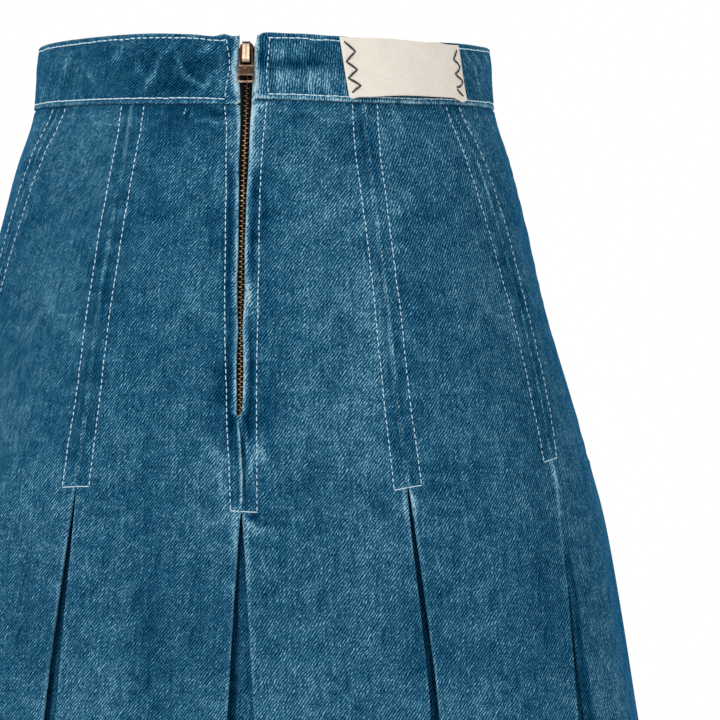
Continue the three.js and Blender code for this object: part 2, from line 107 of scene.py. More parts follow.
# The soft standing folds of the flare: gore, place across it, half width, height at the hem, top
softFolds = (
    (0, 0.45, 17, 4, -210), (1, 0.55, 20, 5, -200), (2, 0.4, 16, 3.5, -230), (3, 0.6, 20, 4.5, -215),
    (4, 0.42, 18, 5, -235), (5, 0.58, 22, 3, -240), (6, 0.5, 20, 4, -220), (7, 0.38, 17, 5, -205),
    (8, 0.55, 19, 4, -225), (9, 0.48, 18, 5, -205), (10, 0.3, 20, 4.5, -235), (10, 0.72, 17, 3.5, -250),
)

# How wide the edges stand apart over the zip
zipOpening = namedColumns("z gap", [
    (17.5, 8.9), (0, 7.6), (-17.5, 5.7), (-27, 4.9), (-50, 4.9), (-63, 3.9), (-93, 3.2), (-112, 3.7),
    (-124, 3), (-135, 2), (-141, 2.7), (-155, 3.5), (-168, 3), (-176.5, 2.3), (-178, -0.1), (-432.5, -0.1),
])

# How far a pleat's folds wander from its line, to the right, by height
foldWander = {
    "centre_back": ((-170, 0), (-178, -0.4), (-190, 0.6), (-207, 1.6), (-220, 1.4), (-231, 0.55), (-300, 0)),
    "right_back": ((-240, 0), (-276, 0.2), (-300, 0.6), (-314, 0.8), (-432.5, 1.2)),
    "right_side_back": (
        (-120, 0), (-170, -1.6), (-199, -2.2), (-232, -2.4), (-251, -3.2), (-282, -4.45), (-317, -5.6),
        (-360, -5), (-432.5, -3),
    ),
    "right_side_front": ((-201, 0), (-240, 1.6), (-300, 0.4), (-432.5, -1)),
    "left_side": ((-194, 0), (-236, 2.2), (-290, 0.8), (-432.5, 0)),
    "left_front": ((-214, 0), (-270, -1.4), (-432.5, -2)),
}

cut = {
    "bandTop": 17.5,
    "bandBottom": -17.5,
    "bandRise": 2.1,
    "bandThickness": 2.8,
    "bandPuff": 0.35,
    "bandProud": 0.3,
    "hem": -432.5,
    "cloth": 1.1,
    "foldGap": 0.4,
    "seamGap": 0.3,
    "foldsMeet": -0.12,
    "zipFoldStep": 0.6,  # the folds under the zip part this much at once
    "zipFoldReach": 0.015,
    "allowance": 9,
    "return": 26,
    "returnSpread": 22,
    "underlayRise": 18,
    "underlayHemLift": 2,
    "proudReach": 34,
}
cut["fold"] = 2 * cut["cloth"] + cut["foldGap"]
cut["underlayDepth"] = cut["fold"] + 0.6


def columnAt(table, column, z, by="z"):
    # a cubic between two rows whose slopes come from the rows on either side of them
    levels = table[by][::-1]
    values = table[column][::-1]
    places = np.arange(len(levels))
    above = np.minimum(places + 1, len(levels) - 1)
    below = np.maximum(places - 1, 0)
    slopes = (values[above] - values[below]) / (levels[above] - levels[below])
    level = np.clip(z, levels[0], levels[-1])
    i = np.clip(np.searchsorted(levels, level, side="right") - 1, 0, len(levels) - 2)
    span = levels[i + 1] - levels[i]
    t = (level - levels[i]) / span
    return (
        values[i] * (1 + 2 * t) * (1 - t) ** 2
        + values[i + 1] * t * t * (3 - 2 * t)
        + span * (slopes[i] * t * (1 - t) ** 2 - slopes[i + 1] * t * t * (1 - t))
    )


def straightColumnAt(table, column, z):
    return np.interp(z, table["z"][::-1], table[column][::-1])


def wrapDegrees(degrees):
    return (degrees + 180) % 360 - 180


def smoothStep(low, high, value):
    t = np.clip((value - low) / (high - low), 0, 1)
    return t * t * (3 - 2 * t)


def bump(distance, width):
    return np.exp(-((distance / width) ** 2))


def section(angle, z):
    # rounded section in polar form: radius = (|cos/depth|^n + |sin/side|^n)^(-1/n)
    back = np.cos(angle) > 0
    depth = np.where(back, columnAt(form, "back", z), columnAt(form, "front", z))
    power = columnAt(form, "exponent", z)
    radius = (
        np.abs(np.cos(angle) / depth) ** power
        + np.abs(np.sin(angle) / columnAt(form, "side", z)) ** power
    ) ** (-1 / power)
    return radius * np.sin(angle), -radius * np.cos(angle)


def formPoint(degrees, z, depth):
    # a point on the section, moved square to it and inwards by its depth
    angle = np.radians(degrees)
    nudge = 0.004
    x, y = section(angle, z)
    aheadX, aheadY = section(angle + nudge, z)
    behindX, behindY = section(angle - nudge, z)
    alongX, alongY = aheadX - behindX, aheadY - behindY
    size = np.hypot(alongX, alongY)
    x, y, z = np.broadcast_arrays(x - alongY / size * depth, y + alongX / size * depth, z)
    return np.stack([x, y, z], axis=-1)


# The way round the form at each level, so that places on it can be given in millimetres of cloth
ring = {
    "levels": np.linspace(cut["hem"] - 2, cut["bandTop"] + 4, 457),
    "degrees": np.linspace(-180, 180, 361),
    "shares": np.linspace(0, 1, 1441),
}
ringX, ringY = section(np.radians(ring["degrees"])[None, :], ring["levels"][:, None])
ringSteps = np.hypot(np.diff(ringX, axis=1), np.diff(ringY, axis=1))
ring["arcs"] = np.concatenate([np.zeros((len(ring["levels"]), 1)), np.cumsum(ringSteps, axis=1)], axis=1)
ring["totals"] = ring["arcs"][:, -1]
ring["middles"] = ring["arcs"][:, len(ring["degrees"]) // 2].copy()
ring["turned"] = np.stack([
    np.interp(ring["shares"] * total, arcs, ring["degrees"])
    for arcs, total in zip(ring["arcs"], ring["totals"])
])


def readTable(grid, row, column):
    # a value between the rows and columns of a grid, straight both ways
    i = np.clip(np.floor(row).astype(int), 0, grid.shape[0] - 2)
    j = np.clip(np.floor(column).astype(int), 0, grid.shape[1] - 2)
    s, t = row - i, column - j
    return (
        grid[i, j] * (1 - s) * (1 - t) + grid[i + 1, j] * s * (1 - t)
        + grid[i, j + 1] * (1 - s) * t + grid[i + 1, j + 1] * s * t
    )


def levelRow(z):
    levels = ring["levels"]
    return (z - levels[0]) / (levels[1] - levels[0])


def totalAt(z):
    return np.interp(z, ring["levels"], ring["totals"])


def arcOf(degrees, z):
    # the distance round from the centre back
    row, column = np.broadcast_arrays(levelRow(np.asarray(z, float)), np.asarray(degrees, float) + 180)
    return readTable(ring["arcs"], row, column) - np.interp(z, ring["levels"], ring["middles"])


def degreesOf(arc, z):
    # the angle at a distance round
    share = (arc + np.interp(z, ring["levels"], ring["middles"])) / totalAt(z)
    turns = np.floor(share)
    column = (share - turns) * (len(ring["shares"]) - 1)
    row, column = np.broadcast_arrays(levelRow(np.asarray(z, float)), column)
    return readTable(ring["turned"], row, column) + 360 * turns


# How much the band's lower edge stands up or down from its even curve, by degrees round
bandFoots = namedColumns("angle lift", [
    (180, 0), (70, 0), (50, -0.4), (36, 0), (26, 0.5), (17, 1.2), (9, 1.7), (3, 2), (1, 2), (-0.7, -0.8),
    (-3, -0.8), (-6, -0.7), (-10, -0.3), (-20, -0.25), (-35, -0.1), (-60, 0), (-180, 0),
])


def bandBottomAt(degrees):
    around = wrapDegrees(degrees)
    lift = columnAt(bandFoots, "lift", around, by="angle")
    return cut["bandBottom"] + cut["bandRise"] * np.sin(np.radians(around)) ** 2 + lift


def pleatAt(index, z):
    # a pleat's centre line, opening and the width of its returns at a level
    pleat = pleats[index % len(pleats)]
    line = arcOf(pleat["side"] * columnAt(pleatLines, pleat["column"], z), z)
    if index >= len(pleats):
        line = line + totalAt(z)
    centre = line
    if pleat["name"] in foldWander:
        heights, shifts = np.array(foldWander[pleat["name"]][::-1]).T
        centre = line + np.interp(z, heights, shifts)
    below = np.maximum(pleat["bar"] - z, 0) / (pleat["bar"] - cut["hem"])
    gap = np.full_like(below, cut["foldsMeet"])
    if pleat["column"] == "centre":
        gap = straightColumnAt(zipOpening, "gap", z)
        gap = gap + cut["zipFoldStep"] * smoothStep(0, cut["zipFoldReach"], below)
    gap = gap + pleat["open"] * below ** pleat["shape"]
    widened = smoothStep(-cut["returnSpread"], cut["returnSpread"], pleat["bar"] - z)
    width = cut["allowance"] + (cut["return"] - cut["allowance"]) * widened
    return {"line": line, "centre": centre, "gap": gap, "width": width, "below": below}


def goreShift(gore, z, arc, left, right):
    # how far a gore stands in from the form: lifted fold edges and the soft folds of the flare bring it out
    def fall(distance):
        return np.maximum(1 - np.maximum(distance, 0) / cut["proudReach"], 0) ** 2

    shift = -pleats[gore]["right"] * left["below"] * fall(arc - left["edge"])
    shift = shift - pleats[(gore + 1) % len(pleats)]["left"] * right["below"] * fall(right["edge"] - arc)
    for owner, place, width, height, top in softFolds:
        if owner == gore:
            middle = left["edge"] + place * (right["edge"] - left["edge"])
            grown = smoothStep(0, top - cut["hem"], top - z)
            shift = shift - height * grown * bump(arc - middle, width)
    return shift


def goreEdges(gore, z):
    left = pleatAt(gore, z)
    right = pleatAt(gore + 1, z)
    left["edge"] = left["centre"] + left["gap"] / 2
    right["edge"] = right["centre"] - right["gap"] / 2
    return left, right


# How far the topstitching runs from a pleat's centre line, on its left and on its right
stitchLines = {
    "centre": namedColumns("z left right", [
        (-17.5, 10.6, 10.8), (-34, 9.2, 9.6), (-64, 8.5, 8.6), (-107, 8.3, 9.1), (-134, 7.8, 8.9),
        (-160, 6.9, 8.5), (-185, 6.3, 8.6), (-210, 5.2, 8.8), (-226, 4.8, 8.9),
    ]),
    "plain": namedColumns("z left right", [
        (-17.5, 6.4, 6.9), (-45, 6.5, 6.6), (-76, 6.4, 6.8), (-110, 6.3, 6.8), (-134, 6.8, 6.8),
        (-162, 6.6, 6.9), (-190, 7.2, 7.1), (-226, 7.5, 7.3),
    ]),
    "farRight": namedColumns("z left right", [
        (-17.5, 4.4, 5.7), (-45, 8.8, 8.4), (-68, 9.9, 9.2), (-134, 10.1, 8), (-170, 10.3, 6.6),
        (-190, 8.5, 4.4), (-226, 6.4, 1.8),
    ]),
    "wide": namedColumns("z left right", [
        (-17.5, 6.1, 6.3), (-45, 7.6, 7.6), (-68, 8.2, 8.2), (-134, 8.1, 8.1), (-170, 7.6, 7.6),
        (-190, 6.2, 6.2), (-226, 5.7, 5.7),
    ]),
}


def stitchOffset(pleat, side, z):
    # how far a row of stitches runs from its pleat's line
    kind = {"centre": "centre", "second": "wide"}.get(pleat["column"], "plain")
    if pleat["name"] == "right_side_back":
        kind = "farRight"
    return straightColumnAt(stitchLines[kind], "right" if side > 0 else "left", z)


# Creases, worn places and painted shade: distance round from the centre back, z, half length, half width,
# turn in degrees from level, height (below zero for a trough) and wear with painted shade (above zero pale
# rubbed wear, below zero a darker place, mostly painted shade in troughs, under the band and the label and
# beside folds)
creases = [
    # under the centre back's bar
    (7.7, -229.8, 5, 1.5, -22, -1.0, -0.42),
    (18, -231.8, 9, 2, -4, -0.6, -0.16),
    (9, -234.6, 8, 2, -20, 0.55, 0.18),
    (-2.6, -237, 10, 1.8, -88, 0.35, 0.26),
    (4.4, -262, 26, 1.3, -86, 0.2, 0.14),
    (5.2, -232, 5, 1.3, -45, 0.35, 0.36),
    (4.6, -245, 12, 1.0, -84, 0.25, 0.22),
    (-6, -230.5, 6, 1.6, 12, 0.3, 0.2),
    # inside its U
    (-13, -196.5, 10, 1.7, -38, 0.3, 0.22),
    (-9.4, -213.5, 10, 1.8, 100, 0.2, 0.22),
    (5.8, -202.5, 9, 1.9, 75, 0.25, 0.42),
    (12.2, -198, 6, 2.2, -60, 0.2, 0.22),
    (-10, -162, 15, 4, 90, 0, -0.22),
    (13.8, -175.5, 15, 3.2, 88, 0, -0.18),
    (-4.3, -184, 7, 3, 90, 0, -0.2),
    (5.5, -184, 7, 3.4, 90, 0, -0.2),
    (11.4, -198.8, 7, 2, -85, 0.2, 0.13),
    (-13, -231, 11, 3, 10, 0.35, 0.06),
    # under the first pleat on the right
    (94.5, -291, 34, 7, 94, 0, -0.07),
    (68.6, -275, 46, 12, 94, 0, 0.09),
    (64.3, -216, 13, 7, 0, -0.3, -0.14),
    # a painted shadow below the band, under the label's right end
    (101.9, -23, 12, 7, 0, 0, -0.1),
    (88, -221, 6.5, 1.5, -76, 0.45, 0.36),
    (83.8, -223, 9, 1.3, -83, 0.4, 0.3),
    (70, -225, 9, 5, 0, 0, -0.12),
    (118, -304, 22, 8, 0, 0, -0.1),
    (90, -222, 5, 2, -50, 0.2, 0.12),
    (106, -205, 12, 2.6, 4, -0.5, -0.2),
    (113.8, -211.5, 7, 2.2, 0, 0.3, 0.07),
    (101.5, -212.2, 10, 1.4, -1, -0.35, -0.14),
    (98, -216.5, 9, 2, 14, -0.3, -0.06),
    (70, -219.5, 12, 2.6, 8, 0.35, 0.05),
    (66, -50, 22, 4, -75, 0, -0.15),
    (81, -27, 10, 4, 90, 0, 0.12),
    (88, -68, 12, 5, 90, 0, 0.1),
    # under the second
    (172, -60, 44, 5, 89, 0, -0.1),
    (162.8, -240, 34, 12, 90, 0, -0.09),
    (169.3, -83, 22, 6, 88, 0, 0.12),
    (176, -207, 8, 1.4, -68, 0.6, 0.4),
    (163.2, -202, 6, 3, 6, -0.5, -0.16),
    (156, -210.5, 11, 2.2, 3, -0.35, -0.13),
    (164.7, -208.5, 4, 2.2, 0, 0.4, 0.1),
    (176.4, -222, 16, 1.2, -92, 0.2, 0.22),
    (184, -203, 6, 2, -30, 0.3, 0.12),
    (150, -205, 10, 3, -4, -0.3, -0.05),
    # left of the zip
    (-37, -20.5, 17, 16, 0, 0, -0.17),
    (-40, -34, 15, 12, 0, 0, -0.07),
    (-13.7, -208, 14, 9, 90, 0, 0.03),
    (-46.5, -286, 40, 9, 90, 0, -0.14),
    (-46.7, -177, 18, 9, 90, 0, -0.08),
    (-9, -112, 22, 2.4, 90, 0, -0.1),
    (-16.1, -80.5, 18, 2.6, -88, -0.35, -0.14),
    (-13.1, -55, 13, 1.6, 83, 0.2, 0.1),
    (-30.2, -21.2, 4.5, 1.1, -72, -0.6, -0.26),
    (-27.6, -22, 4.5, 1.1, -72, 0.45, 0.14),
    (-21.5, -27.8, 4.2, 1.2, -27, -0.6, -0.26),
    (-14.8, -33.2, 5.2, 1.2, -49, -0.55, -0.24),
    (-17, -27.5, 6, 1.5, -40, 0.5, 0.2),
    (-26, -120, 26, 5, 84, 0.35, 0.03),
    (-43, -70, 20, 4, -80, -0.3, -0.05),
    (-29, -219.5, 24, 6, 1, -0.3, -0.07),
    (-48, -170, 20, 5, 70, 0.3, 0.03),
    # right of the zip
    (7.4, -18.6, 4.6, 1.2, 14, 0.2, 0.34),
    (5, -22, 3.4, 1.1, 70, 0.2, 0.3),
    (10, -66, 20, 2.2, 90, -0.15, -0.16),
    (5.0, -117, 11, 2.5, 90, 0, 0.66),
    (-3.6, -110, 13, 1.6, 90, 0, 0.2),
    (3.6, -148, 9, 1.5, 90, 0, 0.3),
    (3.9, -34, 16, 1.2, 90, 0.1, 0.26),
    (6.4, -44, 12, 1.4, 86, 0.1, 0.12),
    (-19, -19.5, 7, 3, 0, 0, -0.15),
    (-13, -21.5, 11, 2.6, 0, 0, -0.22),
    (-16, -34, 12, 16, 0, 0, -0.06),
    (69.8, -93, 56, 13, 90, 0, 0.12),
    (66.3, -169, 42, 14, 84, 0, 0.13),
    (40, -74, 30, 11, 4, 0, 0.1),
    (51, -36, 10, 9, 0, 0, -0.12),
    (22.7, -51, 9, 6, 60, 0.25, 0.09),
    (25.4, -25.5, 9, 3, 0, -0.2, -0.13),
    (13.2, -74.5, 8, 2.6, 90, -0.2, -0.13),
    (18.2, -168.5, 24, 4.5, 90, -0.25, -0.08),
    (8.3, -93, 4, 1.2, 60, 0.1, 0.22),
    (7.8, -127, 8, 1.2, 68, 0.1, 0.18),
    (36, -128, 62, 17, 88, 0, 0.07),
    (33, -214, 14, 5, 15, -0.3, -0.05),
    (50, -90, 30, 6, 80, -0.25, -0.03),
    # between the first and the second pleats
    (135.8, -33.5, 11, 1, -49, 0.35, 0.16),
    (140, -38, 10, 1.3, -49, -0.35, -0.08),
    (115, -120, 34, 6, 84, 0.3, 0.03),
    (122, -60, 22, 5, -70, -0.3, -0.04),
    (128, -176, 20, 6, 30, -0.25, -0.04),
    (180, -110, 34, 6, -84, 0.3, 0.05),
    (137, -115, 95, 26, 90, 0, 0.02),
    (129, -42, 18, 5, -70, 0, 0.09),
]

# The same kind of marks under the other bars, from the foot of each slit
barCreases = (
    (3.6, -2.8, 5, 1.4, -24, -0.65, -0.24),
    (13.5, -4.6, 9, 2.1, -7, -0.4, -0.08),
    (-2.2, -4.5, 4, 1.3, 80, 0.4, 0.22),
    (2.8, -4.6, 3.6, 1.2, -66, 0.45, 0.26),
    (-16, -2.4, 12, 3, 5, -0.4, -0.07),
    (19, 2.6, 9, 2.6, 3, 0.3, 0.05),
    (2, -34, 28, 1.3, -88, 0.1, 0.1),
)

# pleat, strength, side that its main crease runs to, how far it is turned and moved down
barSorts = (
    (0, 1.0, 1, 0, 0), (1, 0.8, -1, 8, 1.2), (2, 1.1, 1, -6, 0.5), (3, 0.9, -1, 4, 0), (4, 0.7, 1, 10, 0.8),
    (8, 1.1, -1, -5, 0.4), (9, 0.8, 1, 7, 1), (10, 1.0, -1, 2, 0.2),
)

# On the panels that the view from behind doesn't show: gore, place across it, then as above
panelCreases = (
    (0, 0.35, -64, 22, 4, 82, 0.35, 0.05), (0, 0.7, -34, 6, 1.4, -42, -0.45, -0.13),
    (0, 0.5, -150, 34, 9, 86, 0.2, 0.05), (1, 0.3, -30, 7, 1.3, 58, -0.45, -0.12),
    (1, 0.65, -96, 24, 5, -82, -0.35, -0.06), (1, 0.5, -205, 16, 3, 6, -0.4, -0.06),
    (2, 0.45, -52, 14, 3, 74, 0.35, 0.08), (2, 0.7, -130, 30, 6, 87, -0.3, -0.05),
    (2, 0.3, -197, 12, 3, -8, 0.35, 0.05), (3, 0.35, -40, 9, 1.5, -55, 0.35, 0.13),
    (3, 0.6, -110, 26, 6, -84, 0.3, 0.05), (3, 0.5, -200, 14, 3, 4, -0.4, -0.06),
    (7, 0.4, -46, 12, 1.6, 52, -0.4, -0.1), (7, 0.65, -104, 28, 6, 85, 0.3, 0.05),
    (8, 0.3, -36, 8, 1.4, -48, 0.4, 0.12), (8, 0.6, -140, 30, 6, -86, -0.3, -0.05),
    (8, 0.5, -198, 14, 3, 5, 0.35, 0.05), (9, 0.55, -60, 18, 4, 76, -0.35, -0.08),
    (9, 0.35, -124, 28, 8, 88, 0.2, 0.06), (10, 0.25, -32, 8, 1.4, 50, -0.45, -0.13),
    (10, 0.6, -48, 16, 3, -80, 0.35, 0.08), (10, 0.4, -130, 46, 14, 89, 0, 0.06),
    (10, 0.75, -190, 16, 4, -10, -0.35, -0.06), (10, 0.2, -212, 12, 3, 6, 0.35, 0.05),
)

# Soft waves all over: how many round the skirt and down it, the turn of each in radians, height
waveLength = 60
softWaves = (
    (7, 0.6, 0.4, 0.9, 0.3),
    (11, 1.3, 2.1, 0.2, 0.26),
    (17, 2.1, 4.0, 1.7, 0.2),
    (23, 3.4, 1.1, 2.9, 0.14),
    (31, 5.2, 3.1, 4.4, 0.1),
)


def placeCreases():
    # the marks that are given by their pleat or gore, put where those lie
    for index, strength, way, turn, down in barSorts:
        pleat = pleats[index]
        centre = float(pleatAt(index, np.array(pleat["bar"]))["centre"])
        for across, drop, long, wide, lean, height, wearAndShade in barCreases:
            creases.append((
                centre + way * across, pleat["bar"] + drop - down, long, wide, way * (lean + turn),
                strength * height, strength * wearAndShade,
            ))
    for gore, place, z, long, wide, turn, height, wearAndShade in panelCreases:
        left, right = goreEdges(gore, np.array(float(z)))
        arc = float(left["edge"] + place * (right["edge"] - left["edge"]))
        creases.append((arc, z, long, wide, turn, height, wearAndShade))


placeCreases()


def markShape(arc, z, total, mark):
    # a long soft spot: exp(-(along / half length)^2 - (across / half width)^2)
    place, level, long, wide, turn = mark[:5]
    c, s = math.cos(math.radians(turn)), math.sin(math.radians(turn))
    away = (arc - place + total / 2) % total - total / 2
    along = away * c + (z - level) * s
    across = -away * s + (z - level) * c
    return np.exp(-((along / long) ** 2) - (across / wide) ** 2)


def marksAt(arc, z, marks, column):
    # the sum of all marks, each times its height or its wear
    total = totalAt(z)
    result = np.zeros(np.broadcast(arc, z).shape)
    for mark in marks:
        result = result + mark[column] * markShape(arc, z, total, mark)
    return result


# The pull of a row of stitches: the ridges across it, with their spacing and how unevenly they come, the
# groove under it, and how far each is worn pale or darkened with painted shade; every pair is a height or a
# wear with painted shade, and a half width
skirtPull = {
    "pitch": 11.5,
    "swings": ((1.1, 29), (0.7, 13.7)),
    "ridge": (0.17, 7),
    "groove": (0.3, 0.9),
    "ridgeWearAndShade": (0.055, 6),
    "grooveShade": (0.05, 1.1),
    "lean": 0.06,
    "hold": (-6, 4),  # it fades out between these heights over the bar
}


def stitchPull(look, along, away, phases, lean):
    # relief = ridge * sin(along) * bump(away) - groove * bump(away), and the same for the wear, whose groove
    # term is painted shade
    beat = along / look["pitch"]
    for (swing, length), phase in zip(look["swings"], phases):
        beat = beat + swing * np.sin(along / length + phase)
    wave = np.sin(2 * np.pi * beat + lean * away)
    both = []
    for high, low in (("ridge", "groove"), ("ridgeWearAndShade", "grooveShade")):
        height, wide = look[high]
        depth, narrow = look[low]
        both.append(height * wave * bump(away, wide) - depth * bump(away, narrow))
    return both


def puckersAt(arc, z):
    # the sum of the pull of all the pleats' rows, each as far round as it is on either turn
    relief = np.zeros(np.broadcast(arc, z).shape)
    wearAndShade = np.zeros_like(relief)
    for index, pleat in enumerate(pleats):
        middle = pleatAt(index, z)["line"]
        low, high = skirtPull["hold"]
        held = smoothStep(pleat["bar"] + low, pleat["bar"] + high, z)
        for side in (-1, 1):
            for turns in (0, 1):
                line = middle + side * stitchOffset(pleat, side, z) + turns * totalAt(z)
                pull, rubbedWithPaintedLight = stitchPull(
                    skirtPull, z, arc - line, (index, 2 * index + side), skirtPull["lean"] * side,
                )
                relief = relief + held * pull
                wearAndShade = wearAndShade + held * rubbedWithPaintedLight
    return relief, wearAndShade


def reliefAt(arc, z):
    # everything finer than the solids' form, in millimetres outwards
    around = 2 * np.pi * arc / totalAt(z)
    waves = np.zeros(np.broadcast(arc, z).shape)
    for roundCount, down, turnRound, turnDown, height in softWaves:
        upright = np.cos(down * z / waveLength + turnDown)
        waves = waves + height * np.sin(roundCount * around + turnRound) * upright
    puckers, wearAndShade = puckersAt(arc, z)
    return waves + puckers + marksAt(arc, z, creases, 5), wearAndShade + marksAt(arc, z, creases, 6)


def flatMap(across, up):
    # the place of each point on the flat cloth
    return np.stack(np.broadcast_arrays(across, up), axis=-1)


def wallMesh(name, outer, inner, attributes=None, flatUv=None):
    # a closed wall between two grids of points; its sections go up where their points go round to the
    # right, and to the right where their points go down, so that its faces point outwards
    rows, columns = outer.shape[:2]
    points = np.concatenate([outer, inner[:, ::-1]], axis=1)
    count = 2 * columns
    start = (np.arange(rows - 1) * count)[:, None]
    here = np.arange(count)[None, :]
    ahead = (here + 1) % count
    sides = np.stack([start + here, start + ahead, start + ahead + count, start + here + count], axis=-1)
    i = np.arange(columns - 1)
    first = np.stack([i, count - 1 - i, count - 2 - i, i + 1], axis=-1)
    last = (rows - 1) * count + np.stack([i, i + 1, count - 2 - i, count - 1 - i], axis=-1)
    faces = np.concatenate([sides.reshape(-1, 4), first, last])
    smooth = np.ones(len(faces), bool)
    smooth[-2 * (columns - 1):] = False
    cutEdges = sides.shape[1] * np.arange(rows - 1)
    smooth[cutEdges + columns - 1] = False
    smooth[cutEdges + count - 1] = False
    values = {
        key: np.concatenate([both[0], both[1][:, ::-1]], axis=1) for key, both in (attributes or {}).items()
    }
    uv = None if flatUv is None else np.concatenate([flatUv[0], flatUv[1][:, ::-1]], axis=1)
    return meshFrom(name, points.reshape(-1, 3), faces, smooth, values, uv)


def linkObject(name, data):
    made = bpy.data.objects.new(name, data)
    bpy.context.scene.collection.objects.link(made)
    return made


def meshFrom(name, points, faces, smooth=None, attributes=None, uv=None):
    # points in millimetres, with values at them and the flat place of the cloth there
    mesh = bpy.data.meshes.new(name)
    mesh.from_pydata((points * mm).tolist(), [], faces.tolist())
    flags = np.ones(len(faces), bool) if smooth is None else smooth
    mesh.polygons.foreach_set("use_smooth", flags)
    for key, values in (attributes or {}).items():
        layer = mesh.attributes.new(key, "FLOAT", "POINT")
        layer.data.foreach_set("value", values.reshape(-1).astype(np.float32))
    if uv is not None:
        corners = np.zeros(len(mesh.loops), int)
        mesh.loops.foreach_get("vertex_index", corners)
        layer = mesh.uv_layers.new(name="cloth")
        layer.data.foreach_set("uv", (uv.reshape(-1, 2)[corners] * mm).reshape(-1).astype(np.float32))
    mesh.update()
    return linkObject(name, mesh)


def finishPiece(piece, material, nodes=(), body="skirt"):
    piece.data.materials.append(material)
    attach(piece, body)
    if nodes:
        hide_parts(*nodes)


# Materials


def linear(hexColour):
    # sRGB hex to linear light
    parts = [int(hexColour[i:i + 2], 16) / 255 for i in (1, 3, 5)]
    light = [part / 12.92 if part <= 0.04045 else ((part + 0.055) / 1.055) ** 2.4 for part in parts]
    return (*light, 1)


def setInputs(tree, node, inputs):
    for socket, value in inputs.items():
        if isinstance(value, bpy.types.NodeSocket):
            tree.links.new(value, node.inputs[socket])
        else:
            node.inputs[socket].default_value = value


def addNode(tree, kind, inputs=None, **settings):
    node = tree.nodes.new(kind)
    for name, value in settings.items():
        setattr(node, name, value)
    setInputs(tree, node, inputs or {})
    return node


def newMaterial(name):
    material = bpy.data.materials.new(name)
    material.use_nodes = True
    return material, material.node_tree, material.node_tree.nodes["Principled BSDF"]


def weightedSum(tree, base, terms):
    # base plus each value times its weight
    total = base
    for value, weight in terms:
        step = addNode(tree, "ShaderNodeMath", {0: value, 1: weight, 2: total}, operation="MULTIPLY_ADD")
        total = step.outputs[0]
    return total


def clothPlace(tree):
    # the flat place of the cloth in millimetres
    uv = addNode(tree, "ShaderNodeUVMap", uv_map="cloth").outputs[0]
    return addNode(tree, "ShaderNodeVectorMath", {0: uv, "Scale": 1 / mm}, operation="SCALE").outputs[0]


denim = {
    "waleAcross": 1.62,  # one twill line to the next, across and up the cloth
    "waleUp": 2.16,
    "dashLong": 1.7,
    "dashFine": 1.5,  # dashes to a twill line, so that the render shows them
    "sway": (0.16, 2.2),  # scale and size of the lines' slow wander
    "ground": 0.508,
    "weights": {
        "wale": 0.44, "dash": 0.7, "slub": 0.5, "grain": 0.9, "clump": 0.3, "blotch": 0.5, "cloud": 0.35,
        "wearAndShade": 0.2, "rubbedWithPaintedLight": 1.6,
    },
    "colours": (
        (0.0, "#00101f"), (0.25, "#002a44"), (0.5, "#163f57"), (0.75, "#2f5f77"), (1.0, "#7399a9"),
    ),
    "bare": "#a9b6ba",
    "reverse": ("#7b949f", "#33586c"),
    "bump": 0.5,
    "bumpDepth": 0.16,
}


